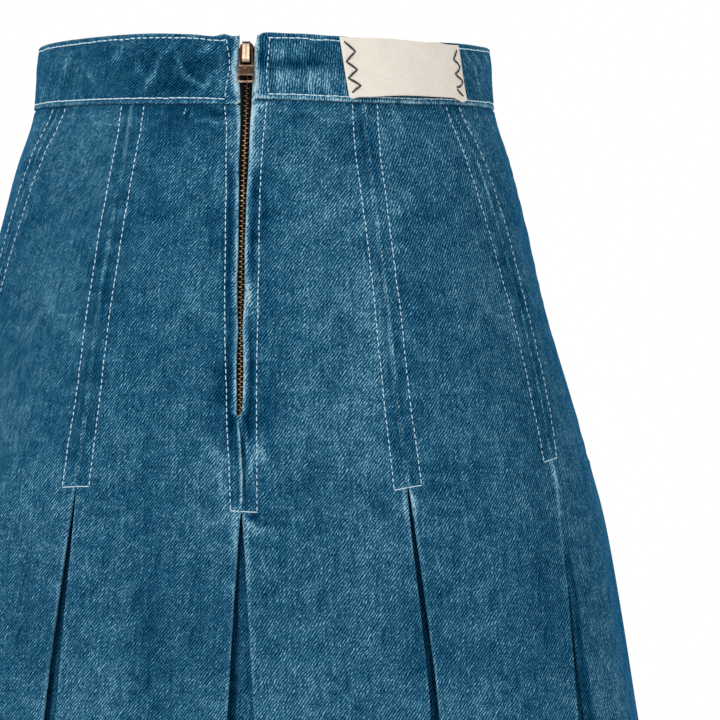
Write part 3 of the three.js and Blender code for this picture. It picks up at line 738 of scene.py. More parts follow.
def washedDenim(name, look, tone=0.0):
    # Washed indigo cotton twill. The dyed warp makes steep diagonal lines, its rubbed tops show as short
    # pale dashes, uneven yarn as upright streaks, and the wash as soft blotches.
    material, tree, shader = newMaterial(name)
    weights = look["weights"]
    cloth = clothPlace(tree)
    swayScale, swaySize = look["sway"]
    sway = addNode(tree, "ShaderNodeTexNoise", {"Vector": cloth, "Scale": swayScale, "Detail": 2.0})
    swayed = addNode(
        tree, "ShaderNodeVectorMath", {0: sway.outputs["Color"], 1: (swaySize, swaySize, 0), 2: cloth},
        operation="MULTIPLY_ADD",
    ).outputs[0]

    # places across the twill lines, along the dashes and across the dashes
    across, up = look["waleAcross"], look["waleUp"]
    size = math.hypot(across, up)
    fine = look["dashFine"] / (across * up)
    along = look["dashLong"] * size
    phase, dashRun, dashSide = [
        addNode(tree, "ShaderNodeVectorMath", {0: swayed, 1: way}, operation="DOT_PRODUCT").outputs["Value"]
        for way in (
            (2 * math.pi / across, -2 * math.pi / up, 0),
            (across / along, up / along, 0),
            (up * fine, -across * fine, 0),
        )
    ]
    wave = addNode(tree, "ShaderNodeMath", {0: phase}, operation="SINE").outputs[0]
    dashes = addNode(tree, "ShaderNodeCombineXYZ", {0: dashRun, 1: dashSide}).outputs[0]
    stretch = {0: swayed, 1: (1.1, 0.05, 1)}
    streaks = addNode(tree, "ShaderNodeVectorMath", stretch, operation="MULTIPLY").outputs[0]
    parts = {}
    for part, place, scale, detail, roughness in (
        ("dash", dashes, 1.0, 1.0, 0.5),
        ("slub", streaks, 1.0, 2.0, 0.5),
        ("grain", swayed, 1.5, 1.0, 0.5),
        ("clump", cloth, 0.32, 2.0, 0.6),
        ("blotch", cloth, 0.1, 3.0, 0.6),
        ("cloud", cloth, 0.018, 2.0, 0.5),
        ("breaks", dashes, 0.7, 0.0, 0.5),
    ):
        noise = {"Vector": place, "Scale": scale, "Detail": detail, "Roughness": roughness}
        parts[part] = addNode(tree, "ShaderNodeTexNoise", noise).outputs["Fac"]
    breaks = parts.pop("breaks")
    broken = addNode(tree, "ShaderNodeMath", {0: wave, 1: breaks}, operation="MULTIPLY").outputs[0]
    wearAndShade = addNode(tree, "ShaderNodeAttribute", attribute_name="wearAndShade").outputs["Fac"]
    rubbedWithPaintedLight = addNode(tree, "ShaderNodeMath", {0: wearAndShade, 1: parts["dash"]}, operation="MULTIPLY").outputs[0]

    # the tint picks the shade of blue and is darkened by the painted shade in the wear attribute, rubbed
    # dashes go on to bare cotton, and the inside is paler
    base = look["ground"] + tone - 0.5 * sum(weights[part] for part in parts)
    terms = [(value, weights[part]) for part, value in parts.items()]
    terms += [(broken, weights["wale"]), (wearAndShade, weights["wearAndShade"]), (rubbedWithPaintedLight, weights["rubbedWithPaintedLight"])]
    dyed = addNode(tree, "ShaderNodeValToRGB", {0: weightedSum(tree, base, terms)})
    ramp = dyed.color_ramp
    while len(ramp.elements) < len(look["colours"]):
        ramp.elements.new(0.5)
    for element, (place, colour) in zip(ramp.elements, look["colours"]):
        element.position = place
        element.color = linear(colour)
    worn = weightedSum(tree, -0.48, ((rubbedWithPaintedLight, 2.5), (wearAndShade, 0.2)))
    flecks = weightedSum(tree, -1.1, ((parts["dash"], 2.6), (parts["slub"], 0.6)))
    inside = addNode(tree, "ShaderNodeAttribute", attribute_name="reverse").outputs["Fac"]
    pale, blue = look["reverse"]
    colour = dyed.outputs["Color"]
    reverse = addNode(
        tree, "ShaderNodeMix", {0: flecks, 6: linear(pale), 7: linear(blue)}, data_type="RGBA",
    ).outputs[2]
    for share, over in ((worn, linear(look["bare"])), (inside, reverse)):
        colour = addNode(tree, "ShaderNodeMix", {0: share, 6: colour, 7: over}, data_type="RGBA").outputs[2]
    height = weightedSum(tree, 0.0, ((wave, 0.3), (parts["dash"], 1.0), (parts["slub"], 0.5)))
    relief = {"Strength": look["bump"], "Distance": look["bumpDepth"] * mm, "Height": height}
    setInputs(tree, shader, {
        "Base Color": colour,
        "Normal": addNode(tree, "ShaderNodeBump", relief).outputs[0],
        "Roughness": 0.88,
        "IOR": 1.45,
        "Specular IOR Level": 0.0,
        "Sheen Weight": 0.16,
        "Sheen Roughness": 0.3,
        "Sheen Tint": (0, 0.35, 0.9, 1),
    })
    return material


def corespunThread(name, colours, lustre=0.15):
    # Polyester thread with a soft lustre, paler where its ply catches the light.
    material, tree, shader = newMaterial(name)
    place = addNode(tree, "ShaderNodeTexCoord").outputs["Object"]
    ply = addNode(tree, "ShaderNodeTexNoise", {"Vector": place, "Scale": 900.0, "Detail": 2.0})
    low, high = map(linear, colours)
    mix = addNode(tree, "ShaderNodeMix", {0: ply.outputs["Fac"], 6: low, 7: high}, data_type="RGBA")
    setInputs(tree, shader, {"Base Color": mix.outputs[2], "Roughness": 0.55, "Sheen Weight": lustre})
    return material


def plainCotton(name, colours, threads):
    # Plain-weave cotton: fine square threads, a soft uneven surface and no shine.
    material, tree, shader = newMaterial(name)
    cloth = clothPlace(tree)
    parts = addNode(tree, "ShaderNodeSeparateXYZ", {0: cloth})
    waves = []
    for socket in ("X", "Y"):
        turned = {0: parts.outputs[socket], 1: 2 * math.pi / threads}
        turned = addNode(tree, "ShaderNodeMath", turned, operation="MULTIPLY").outputs[0]
        waves.append(addNode(tree, "ShaderNodeMath", {0: turned}, operation="SINE").outputs[0])
    weave = addNode(tree, "ShaderNodeMath", {0: waves[0], 1: waves[1]}, operation="MULTIPLY").outputs[0]
    slub = addNode(tree, "ShaderNodeTexNoise", {"Vector": cloth, "Scale": 0.6, "Detail": 3.0}).outputs["Fac"]
    patches = {"Vector": cloth, "Scale": 0.12, "Detail": 2.0}
    blotch = addNode(tree, "ShaderNodeTexNoise", patches).outputs["Fac"]
    tint = weightedSum(tree, -0.25, ((weave, 0.14), (slub, 0.8), (blotch, 0.7)))
    low, high = map(linear, colours)
    relief = addNode(tree, "ShaderNodeBump", {"Strength": 0.4, "Distance": 0.08 * mm, "Height": weave})
    setInputs(tree, shader, {
        "Base Color": addNode(tree, "ShaderNodeMix", {0: tint, 6: low, 7: high}, data_type="RGBA").outputs[2],
        "Normal": relief.outputs[0],
        "Roughness": 0.85,
        "Specular IOR Level": 0.3,
    })
    return material


def antiqueBrass(name, colours, gloss):
    # Die-cast brass with a brown antique plating that is rubbed through on its high places, and painted
    # highlights and shade from the same attribute.
    material, tree, shader = newMaterial(name)
    place = addNode(tree, "ShaderNodeTexCoord").outputs["Object"]
    noise = {"Vector": place, "Scale": 700.0, "Detail": 3.0, "Roughness": 0.6}
    stain = addNode(tree, "ShaderNodeTexNoise", noise).outputs["Fac"]
    rubAndPaintedLight = addNode(tree, "ShaderNodeAttribute", attribute_name="rubAndPaintedLight").outputs["Fac"]
    amount = weightedSum(tree, -0.3, ((stain, 0.6), (rubAndPaintedLight, 1.0)))
    dark, bright = map(linear, colours)
    relief = addNode(tree, "ShaderNodeBump", {"Strength": 0.25, "Distance": 0.05 * mm, "Height": stain})
    mixed = addNode(tree, "ShaderNodeMix", {0: amount, 6: dark, 7: bright}, data_type="RGBA")
    setInputs(tree, shader, {
        "Base Color": mixed.outputs[2],
        "Roughness": weightedSum(tree, gloss, ((stain, 0.25), (rubAndPaintedLight, -0.12))),
        "Normal": relief.outputs[0],
        "Metallic": 1.0,
    })
    return material


skirtDenim = washedDenim("washed_denim_twill", denim)
bandDenim = washedDenim("washed_denim_waistband", denim, tone=-0.045)
# the underlay's darker tone is painted shade, for the cloth deep inside the pleats
underDenim = washedDenim("washed_denim_underlay", denim, tone=-0.03)
paleThread = corespunThread("pale_topstitch_thread", ("#7d99a8", "#bdd6df"))
blackThread = corespunThread("black_label_thread", ("#05070a", "#12161b"), lustre=0.0)
labelCotton = plainCotton("cream_label_cotton", ("#bbb3a9", "#cfc8bd"), threads=0.5)
zipCloth = plainCotton("zip_tape_twill", ("#111516", "#232524"), threads=0.7)
zipBrass = antiqueBrass("antique_brass_teeth", ("#2a2119", "#b89a76"), gloss=0.34)
sliderBrass = antiqueBrass("antique_brass_slider", ("#3a2c22", "#e8cdb0"), gloss=0.3)
print("materials made")

# Gores

goreLook = {
    "rows": 128,
    "panelSteps": 46,
    "returnSteps": 4,
    "foldAngles": (30, 60, 90, 120, 150),
    "edgeCrowding": 0.75,
    "squareness": 0.75,  # below 1 the folds are squarer than a circle
    "hemRadius": 0.5,
    "tuck": 0.8,
    "tuckReach": 1.5,
    "zipEndRows": (-178.4, -177.9, -177.3, -176.7, -176.1, -175.3),
    "hemRows": (0, 0.12, 0.4, 1.1),  # above the hem
    "evenFrom": 2.5,
    "topRows": (2, 1.2, 0.6, 0.2, 0),  # below the top
    "evenTo": 3,
}

# Painted shade along some folds, where the lifted fold shades the cloth beside it and its dye is also less
# faded: the side of the pleat and how dark it is
shadeAndUnfaded = {
    "right_side_back": (1, 0.24), "right_side_front": (1, 0.2),
    "left_side": (-1, 0.24), "left_front": (-1, 0.2),
}
topRow = cut["bandBottom"] + cut["bandRise"]
followDepth = -30


def goreRows():
    # levels from the hem up, closer together at both ends, where the edges are rounded
    middle = np.linspace(cut["hem"] + goreLook["evenFrom"], topRow - goreLook["evenTo"], goreLook["rows"])
    middle = np.sort(np.concatenate([middle, goreLook["zipEndRows"]]))
    foot = cut["hem"] + np.array(goreLook["hemRows"])
    head = topRow - np.array(goreLook["topRows"])
    return np.concatenate([foot, middle, head])


def followBand(z, degrees):
    # a gore's uppermost cloth follows the lower edge of the band
    top = bandBottomAt(degrees) - cut["seamGap"]
    share = np.clip((z - followDepth) / (topRow - followDepth), 0, 1)
    return np.where(z > followDepth, followDepth + share * (top - followDepth), z)


def edgeRounding(z, radius):
    # how far the cut edge's corners are taken off at the hem
    t = np.clip(1 - (z - cut["hem"]) / radius, 0, 1)
    return radius * (1 - np.sqrt(np.maximum(1 - t * t, 0)))


def goreDepth(gore, z, arc, left, right):
    relief, wearAndShade = reliefAt(arc, z)
    return goreShift(gore, z, arc, left, right) - relief, wearAndShade


def makeGore(gore):
    z = goreRows()[:, None]
    left, right = goreEdges(gore, z)
    radius = cut["fold"] / 2
    start = left["edge"] + radius
    end = right["edge"] - radius
    angles = np.radians(goreLook["foldAngles"])[None, :]
    share = np.linspace(0, 1, goreLook["returnSteps"] + 1)[None, :]
    even = np.linspace(0, 1, goreLook["panelSteps"] + 1)[None, :]
    crowded = even - goreLook["edgeCrowding"] * np.sin(2 * np.pi * even) / (2 * np.pi)

    def turn(edge, way, size):
        # round the fold from the panel to its return
        sine = np.sin(angles) ** goreLook["squareness"]
        cosine = np.sign(np.cos(angles)) * np.abs(np.cos(angles)) ** goreLook["squareness"]
        return edge + way * size * sine, radius - size * cosine + 0 * edge

    faces = []
    for size, panelDepth in ((radius, 0), (cut["foldGap"] / 2, cut["cloth"])):
        leftTurn, leftDepth = turn(start, -1, size)
        rightTurn, rightDepth = turn(end, 1, size)
        back = cut["fold"] - panelDepth
        leftReturn = start + (1 - share) * (left["width"] - radius)
        rightReturn = end - share * (right["width"] - radius)
        panel = start + crowded * (end - start)
        arcs = np.concatenate([leftReturn, leftTurn[:, ::-1], panel, rightTurn, rightReturn], axis=1)
        depths = np.concatenate([
            np.full_like(leftReturn, back), leftDepth[:, ::-1], np.full_like(panel, panelDepth),
            rightDepth, np.full_like(rightReturn, back),
        ], axis=1)
        unrolled = np.concatenate([
            2 * start - leftReturn - radius * np.pi, start - radius * angles[:, ::-1], panel,
            end + radius * angles, 2 * end - rightReturn + radius * np.pi,
        ], axis=1)
        faces.append((arcs, depths, unrolled))

    points, wearAndShadeLayers, maps = [], [], []
    middle = (start + end) / 2
    for side, (arcs, depths, unrolled) in enumerate(faces):
        shift, wearAndShade = goreDepth(gore, z, arcs, left, right)
        degrees = degreesOf(arcs, z)
        level = followBand(z, degrees)
        top = bandBottomAt(degrees) - cut["seamGap"]
        tucked = goreLook["tuck"] * np.clip(1 - (top - level) / goreLook["tuckReach"], 0, 1) ** 2
        rounding = edgeRounding(z, goreLook["hemRadius"]) * (1 if side == 0 else -1)
        points.append(formPoint(degrees, level, depths + shift + tucked + rounding))
        wearAndShadeLayers.append(wearAndShade + goreWearAndShade(gore, arcs, z, left, right))
        maps.append(flatMap(unrolled - middle, z))
    reverse = [np.zeros_like(wearAndShadeLayers[0]), np.ones_like(wearAndShadeLayers[1])]
    piece = wallMesh(
        f"gore_{gore + 1}_cloth", points[0], points[1], {"wearAndShade": wearAndShadeLayers, "reverse": reverse}, maps,
    )
    finishPiece(piece, skirtDenim, (f"gore_{gore + 1}",))
    spread = (right["edge"] - left["edge"] + left["width"] + right["width"])[:, 0]
    width = float(spread.max())
    return width


# Where the wear of the fold edges and the painted shade beside some of them begin and end, from none to full
wearAndShadeLevels = {
    "besideZip": (-192, -176),
    "zipHead": (-58, -46),
    "zipFoot": (-206, -196),
    "shadeAndUnfaded": (-228, -262),
    "aboveBar": (-2, 8),  # from the pleat's bar
}


def stripes(away, *rows):
    # bands along a fold edge: how far in from it, half width and wear
    return sum(wearAndShade * bump(away - inset, wide) for inset, wide, wearAndShade in rows)


def goreWearAndShade(gore, arc, z, left, right):
    # pale rubbed fold edges, strongest beside the zip, and painted shade: a darker strip between them and the
    # stitching, a dark line where the folds meet under the zip, the dark strips beside some open pleats and a
    # darker band under the waistband
    worn = np.zeros(np.broadcast(arc, z).shape)
    low, high = wearAndShadeLevels["aboveBar"]
    for index, edge, away in (
        (gore, left, arc - left["edge"]),
        (gore + 1, right, right["edge"] - arc),
    ):
        pleat = pleats[index % len(pleats)]
        rightOfPleat = index == gore
        uneven = 0.72 + 0.28 * np.sin(z / 7.3 + index) * np.sin(z / 19 + 2 * index)
        stitched = smoothStep(pleat["bar"] + low, pleat["bar"] + high, z)
        above = stitched
        edgeWear = 0.45
        if pleat["column"] == "centre":
            edgeWear = 0.6
            zipSide = smoothStep(*wearAndShadeLevels["besideZip"], z)
            head = smoothStep(*wearAndShadeLevels["zipHead"], z)
            foot = smoothStep(*wearAndShadeLevels["zipFoot"], z)
            underZip = ((2.9, 0.6, 0.3 * foot), (0.5, 1.1, -0.5)) if rightOfPleat else ((0.7, 0.9, 0.32),)
            worn = worn + above * (1 - zipSide) * stripes(away, *underZip)
            worn = worn + zipSide * stripes(
                away, (0.6, 0.95, 0.54 * uneven), (3, 3.2, 0.13 * head), (4.2, 1.5, 0.25 * head - 0.3),
            )
            above = above * (1 - zipSide)
        fleck = 0.5 + 0.5 * np.sin(z / 1.9 + index + 2 * np.sin(z / 6.1)) * np.sin(z / 3.4)
        worn = worn + above * stripes(
            away, (0.5, 0.8, edgeWear * fleck * uneven), (1.9, 1.3, -0.1), (4.4, 2.2, -0.06),
        )
        # painted shade beside the lifted fold, partly the unfaded dye of the recess
        side, darkness = shadeAndUnfaded.get(pleat["name"], (0, 0))
        if side == (1 if rightOfPleat else -1):
            wide = 2 + 8 * edge["below"]
            dark = smoothStep(*wearAndShadeLevels["shadeAndUnfaded"], z) * smoothStep(wide + 2.5, wide - 1, away)
            worn = worn - darkness * dark
        worn = worn + (1 - stitched) * stripes(away, (0, 1.3, 0.22 * uneven))
    # painted shade under the waistband, and pale wear at the hem
    underBand = smoothStep(topRow - 5, topRow - 0.5, z)
    return worn - 0.1 * underBand + 0.25 * bump(z - cut["hem"], 1.2)


underlayLook = {
    "rows": 90,
    "wingSteps": 9,
    "slitSteps": 27,
    "foldPlaces": (0, 0.25, 0.5, 0.8),  # past the fold that it swells towards
    "foldReach": 1.2,
    "clearance": 0.35,
    "sag": 0.35,
    "swellLeft": 1.4,  # how far behind the form it stays where it swells out most
    # painted shade on the underlay deep in the pleat, less where it swells out, and more in the second pleats
    "wearAndShade": -0.3,
    "swellLessShade": 0.27,
    "secondPleatShade": -0.16,
}


def makeUnderlay(index):
    # it lies behind the folds, and where the pleat is open it swells out towards the flatter of them
    look = underlayLook
    pleat = pleats[index]
    top = pleat["bar"] + cut["underlayRise"]
    z = np.linspace(cut["hem"] + cut["underlayHemLift"], top, look["rows"])[:, None]
    here = pleatAt(index, z)
    gap = np.maximum(here["gap"], 0.05)
    wing = np.linspace(0, 1, look["wingSteps"])[None, :]
    inSlit = np.linspace(0, 1, look["slitSteps"])[None, 1:-1]
    way = 1 if pleat["left"] > pleat["right"] else -1
    arcs = here["centre"] + way * np.concatenate([
        -gap / 2 - here["width"] * (1 - wing), (inSlit - 0.5) * gap,
        gap / 2 + np.array(look["foldPlaces"])[None, :],
        gap / 2 + look["foldReach"] + (here["width"] - look["foldReach"]) * wing,
    ], axis=1)
    aside = way * (arcs - here["centre"])
    swell = smoothStep(0.08, 0.42, aside / gap + 0.5) * smoothStep(1.0, -0.2, aside - gap / 2)
    swell = swell * smoothStep(1.5, 7, gap)
    if way < 0:
        arcs, swell = arcs[:, ::-1], swell[:, ::-1]
    degrees = degreesOf(arcs, z)
    sag = look["sag"] * np.sin(z / 31 + index) * np.cos((arcs - here["centre"]) / 9)
    sunk = -min(pleat["left"], pleat["right"], 0) * here["below"]
    inward = cut["underlayDepth"] + np.maximum(sag, 0) + look["clearance"] + sunk
    inward = inward - (cut["underlayDepth"] - look["swellLeft"]) * swell
    # painted shade: the cloth in the slit is darkened, less where it swells out towards the light
    wearAndShade = look["wearAndShade"] + look["swellLessShade"] * swell
    if pleat["column"] == "second":
        wearAndShade = wearAndShade + look["secondPleatShade"]
    maps = [flatMap(arcs - here["centre"], z)] * 2
    piece = wallMesh(
        f"underlay_{pleat['name']}_cloth",
        formPoint(degrees, z, inward), formPoint(degrees, z, inward + cut["cloth"]),
        {"wearAndShade": [wearAndShade, wearAndShade], "reverse": [np.zeros_like(arcs), np.ones_like(arcs)]}, maps,
    )
    finishPiece(piece, underDenim, (f"underlay_{pleat['name']}",))
    half = (here["gap"] / 2 + here["width"])[:, 0]
    width = float(2 * half.max())
    return width


# Waistband

bandLook = {
    "steps": 420,
    "faceSteps": 18,
    "cornerSteps": 6,
    "endGap": 7.6,  # between its two ends
    "onCurve": 0.97,  # its flat area against its length times its width
    "reverseShift": 60,  # so that its two sides don't show the same yarns
    "stitchInset": 2.5,
    "footInset": 2.75,
    "edgeRadius": 1.15,
    "grainRight": 32,  # degrees that the grain is turned to the left at the right end
    "grainLeft": -15,
}

# The pull of its two rows of stitches, given as the skirt's is
bandPull = {
    "pitch": 8.7,
    "swings": ((0.9, 31), (0.5, 12.3)),
    "ridge": (0.1, 4.5),
    "groove": (0.34, 0.85),
    "ridgeWearAndShade": (0.06, 4),
    "grooveShade": (0.06, 0.9),
    "lean": 0.35,
}

# Creases of the band, given as the skirt's are
bandCreases = (
    (-41.8, 10.2, 7, 1.2, 46, 0.45, 0.42),
    (-47.4, 1.8, 5, 1.2, 70, 0.45, 0.37),
    (-51.3, -5.5, 5, 2.1, 52, 0.33, 0.38),
    (-44.5, 4, 9, 2, 58, -0.35, -0.12),
    (-34.3, 2, 6, 1.6, -69, 0.39, 0.3),
    (-27.2, -5.8, 7, 1.4, -28, 0.45, 0.4),
    (-30, 0.5, 7, 2, -45, -0.35, -0.1),
    (-18.1, -5.2, 9, 1.3, 51, 0.45, 0.38),
    (-20.6, 11.2, 5.5, 1.9, 37, 0.39, 0.32),
    (-57.3, 1.2, 4, 1.6, -53, 0.39, 0.32),
    (-12.6, -6, 6, 1.6, 90, 0.13, 0.24),
    (-38, -8, 16, 5, 0, 0, -0.14),
    (-42, 4, 24, 12, 0, 0, -0.1),
    (-24, 5, 8, 4, 30, 0, -0.14),
    # beside the zip: a rubbed fold that stands in from each end, and painted shade behind it
    (-4.9, 9.8, 5, 1, 69, 0.2, 0.4),
    (-6.2, 3.8, 4, 1.2, 81, 0.2, 0.5),
    (-6.2, -2.5, 5, 1.6, -80, 0.2, 0.5),
    (-5.2, -10, 5.5, 2.4, -76, 0.1, 0.42),
    (-8.8, 6.6, 4.6, 1.1, 88, -0.35, -0.5),
    (-5, 14.6, 3.5, 1, -40, 0.1, 0.3),
    (4.8, 11.8, 6, 1.4, 77, 0.2, 0.45),
    (4.6, 0.8, 8, 1.6, 90, 0.2, 0.45),
    (5.2, -9, 7, 2.2, 90, 0.1, 0.4),
    (7.8, 5.8, 5, 1.5, 88, -0.3, -0.4),
    # right of the zip
    (20.8, 9.6, 5, 9, 90, 0, 0.14),
    (30.2, -4.8, 16, 5, 0, 0, 0.16),
    (26, 2.6, 15, 2.2, 1, -0.3, -0.34),
    (12.6, 4, 8, 1.6, 90, -0.1, -0.16),
    (38, 5, 10, 3, 60, -0.2, -0.08),
    (14.5, 9.5, 4.5, 1, 84, 0.15, 0.28), (18, 9, 5, 1, 92, 0.15, 0.26), (15.8, -6, 6, 1, 88, 0.2, 0.3),
    (18.3, -6.5, 6, 0.9, 92, 0.2, 0.3), (20.5, -5, 5, 0.9, 86, 0.15, 0.22), (32.5, -6, 6, 1.1, 86, 0.2, 0.3),
    (36.5, -4, 6, 1.2, 94, 0.2, 0.28), (41, -6.5, 6, 1.1, 88, 0.2, 0.3), (45.5, -4, 5.5, 1, 92, 0.2, 0.24),
    (50, -7, 5, 1.1, 85, 0.2, 0.2),
    # right of the label
    (150, 2, 22, 13, 0, 0, 0.04), (131.2, 9, 6, 1, -38, 0.3, 0.28), (136.8, 3, 3, 1, -67, 0.3, 0.24),
    (140.6, -6, 7, 1, -66, 0.3, 0.26), (142.4, 8, 6, 0.9, -36, 0.3, 0.24),
    (155.8, 10.2, 5, 0.9, -22, 0.3, 0.24),
    # the front and the sides
    (165, -3, 9, 1.6, 54, 0.35, 0.22), (178, 6, 8, 1.6, -48, 0.3, 0.2), (201, -6, 9, 2, 32, 0.3, 0.2),
    (222, 4, 8, 1.5, 62, 0.3, 0.24), (240, -2, 10, 1.8, -40, 0.3, 0.18), (262, 7, 7, 1.8, 48, 0.3, 0.2),
    (281, -5, 9, 1.6, 57, 0.35, 0.22), (300, 3, 8, 1.7, -55, 0.3, 0.2), (318, -7, 8, 2, 30, 0.3, 0.18),
    (-330, 6, 8, 1.6, 50, 0.3, 0.2), (-310, -4, 10, 1.7, -42, 0.3, 0.2), (-290, 5, 8, 1.6, 60, 0.35, 0.22),
    (-266, -6, 9, 1.9, 35, 0.3, 0.18), (-244, 3, 8, 1.5, -58, 0.3, 0.22), (-222, -3, 10, 1.8, 45, 0.35, 0.22),
    (-199, 7, 7, 1.7, -36, 0.3, 0.18), (-178, -5, 9, 1.6, 58, 0.3, 0.22), (-155, 4, 8, 1.7, -50, 0.3, 0.2),
    (-132, -6, 9, 1.8, 38, 0.35, 0.22), (-110, 5, 8, 1.5, 60, 0.3, 0.24), (-88, -2, 9, 1.7, -46, 0.3, 0.22),
    (-72, 8, 8, 1.8, 42, 0.3, 0.2),
)

# How high the band's upper edge stands, by the distance round: it peaks beside the zip, and the stiff label
# pulls it down
bandTops = namedColumns("arc z", [
    (334, 17.5), (240, 17.5), (200, 17.3), (160, 16.9), (145, 16.5), (125, 16.5), (106, 16.2), (94, 15.7),
    (84, 16), (66, 16.2), (54, 16.4), (46, 17.3), (37, 17.6), (27, 18.3), (15, 18.6), (4, 19), (0, 17.6),
    (-4, 17.2), (-8, 18.3), (-14, 17.3), (-24, 18.3), (-35, 18.9), (-46, 19.4), (-57, 19.5), (-75, 19.2),
    (-100, 18.6), (-140, 17.9), (-180, 17.5), (-334, 17.5),
])


def bandArc(along, z):
    # how far round the band, at the level of the origin, a share of its length is at a level
    half = straightColumnAt(zipOpening, "gap", z) / 2
    # its right end leans out at the top and its left one leans in
    right = half + 1.0 * smoothStep(10, 18, z)
    left = half - 0.4 * smoothStep(8, 17, z)
    return right + (totalAt(0) - right - left) * along


def signedArc(arc):
    # the distance round, below zero on the left half
    total = totalAt(0)
    return np.where(arc > total / 2, arc - total, arc)


def bandTopAt(arc):
    return columnAt(bandTops, "z", signedArc(arc), by="arc")


def bandDegrees(arc):
    return degreesOf(arc, np.zeros_like(arc))


def bandEdges(arc):
    return bandTopAt(arc), bandBottomAt(bandDegrees(arc))


def bandRelief(arc, z, top, bottom):
    # the doubled cloth puffs between its two rows of stitches, which pull small slanting ridges across it
    total = totalAt(0)
    signed = signedArc(arc)
    share = (z - bottom) / (top - bottom)
    relief = cut["bandPuff"] * np.sin(np.pi * np.clip(share, 0, 1))
    wearAndShade = np.zeros(np.broadcast(arc, z).shape)
    for row, phase in ((top - bandLook["stitchInset"], 0.3), (bottom + bandLook["footInset"], 1.9)):
        pull, rubbedWithPaintedLight = stitchPull(bandPull, arc, z - row, (phase, 2 * phase), bandPull["lean"])
        relief = relief + pull
        wearAndShade = wearAndShade + rubbedWithPaintedLight
    relief = relief + marksAt(signed, z, bandCreases, 5)
    # the creases' wear column also paints shade in their troughs and behind the folds beside the zip
    wearAndShade = wearAndShade + marksAt(signed, z, bandCreases, 6)
    ragged = 0.75 + 0.25 * np.sin(arc / 4.3) * np.sin(arc / 11)
    rim = 0.5 - 0.24 * smoothStep(-2, -9, signed)
    wearAndShade = wearAndShade + rim * ragged * bump(z - bottom - 0.6, 1.1) + 0.22 * ragged * bump(z - top + 0.3, 0.8)
    fromEnd = np.minimum(arc, total - arc) - straightColumnAt(zipOpening, "gap", z) / 2
    wearAndShade = wearAndShade + 0.42 * ragged * bump(fromEnd - 0.5, 1.3) - 0.05 * (signed < 0) * bump(signed + 30, 40)
    return relief, wearAndShade


def makeBand():
    along = np.linspace(0, 1, bandLook["steps"] + 1)[:, None]
    top, bottom = bandEdges(totalAt(0) * along)
    radius = bandLook["edgeRadius"]
    corner = np.radians(np.linspace(90, 0, bandLook["cornerSteps"]))[None, :]
    faceShare = np.linspace(0, 1, bandLook["faceSteps"] + 1)[None, 1:-1]
    inFromEdge = radius - radius * np.sin(corner)
    offFace = radius - radius * np.cos(corner)
    flat = top - radius - faceShare * (top - bottom - 2 * radius)
    z = np.concatenate([top - inFromEdge, flat, bottom + inFromEdge[:, ::-1]], axis=1)
    off = np.concatenate([offFace + 0 * top, np.zeros_like(flat), offFace[:, ::-1] + 0 * top], axis=1)
    arc = bandArc(along, z)
    degrees = bandDegrees(arc)
    relief, wearAndShade = bandRelief(arc, z, top, bottom)
    thick = cut["bandThickness"] / 2
    outer = formPoint(degrees, z, -cut["bandProud"] - relief * (1 - off / radius) + off * thick / radius)
    inner = formPoint(degrees, z, cut["bandThickness"] - cut["bandProud"] - off * thick / radius)
    # the band is cut on a curve, so the cloth's grain turns steadily from one of its ends to the other
    turn = np.radians(bandLook["grainRight"] + (bandLook["grainLeft"] - bandLook["grainRight"]) * along)
    signed = signedArc(arc)
    maps = flatMap(signed * np.cos(turn) + z * np.sin(turn), z * np.cos(turn) - signed * np.sin(turn))
    none = np.zeros_like(wearAndShade)
    piece = wallMesh(
        "waistband_cloth", outer, inner, {"wearAndShade": [wearAndShade, 0.3 * wearAndShade], "reverse": [none, none]},
        [maps, maps - np.array([0, bandLook["reverseShift"]])],
    )
    finishPiece(piece, bandDenim, ("waistband",))


print("gores made: flat widths", [round(makeGore(gore)) for gore in range(len(pleats))])
print("underlays made: flat widths", [round(makeUnderlay(index)) for index in range(len(pleats))])
makeBand()
print("waistband made")

# Stitches

thread = {
    "pitch": 3.25,
    "share": 0.87,  # of the pitch that shows
    "halfWidth": 0.28,
    "halfHeight": 0.22,
    "sink": 0.2,
    "rise": 0.13,
    "stations": 5,
    "sides": 6,
    "taper": 0.38,  # how much thinner the ends are
}
barThread = {**thread, "rise": 0.2, "sink": 0.05, "halfWidth": 0.27}
bandThread = {**thread, "halfWidth": 0.36, "rise": 0.16, "sink": 0.0}
zigThread = {**thread, "halfWidth": 0.56, "halfHeight": 0.3, "stations": 9, "rise": 0.42, "sink": -0.1}

# How the rows are sewn, and how the ends of a tube are closed, by the number of its sides
sewing = {
    "belowBand": 0.9,
    "barPasses": (0.0, 1.5),  # where each starts, past the pleat's line
    "tack": (4.4, 2.2),  # its length and pitch, and where it starts
    "tackStart": (-31.2, -17.6),
    "bandPitch": 3.6,
    "bandShare": 0.97,
    "bandStart": 11.0,
    "bandEnd": 10.6,
    "endPitch": 3.4,
    "endShare": 0.7,
    "hemUp": 12.0,
    "hemPitch": 3.4,
    "hemInset": 0.8,
}
endQuads = {
    6: ((0, 1, 2, 3), (0, 3, 4, 5)),
    8: ((0, 1, 2, 3), (0, 3, 4, 7), (7, 4, 5, 6)),
}


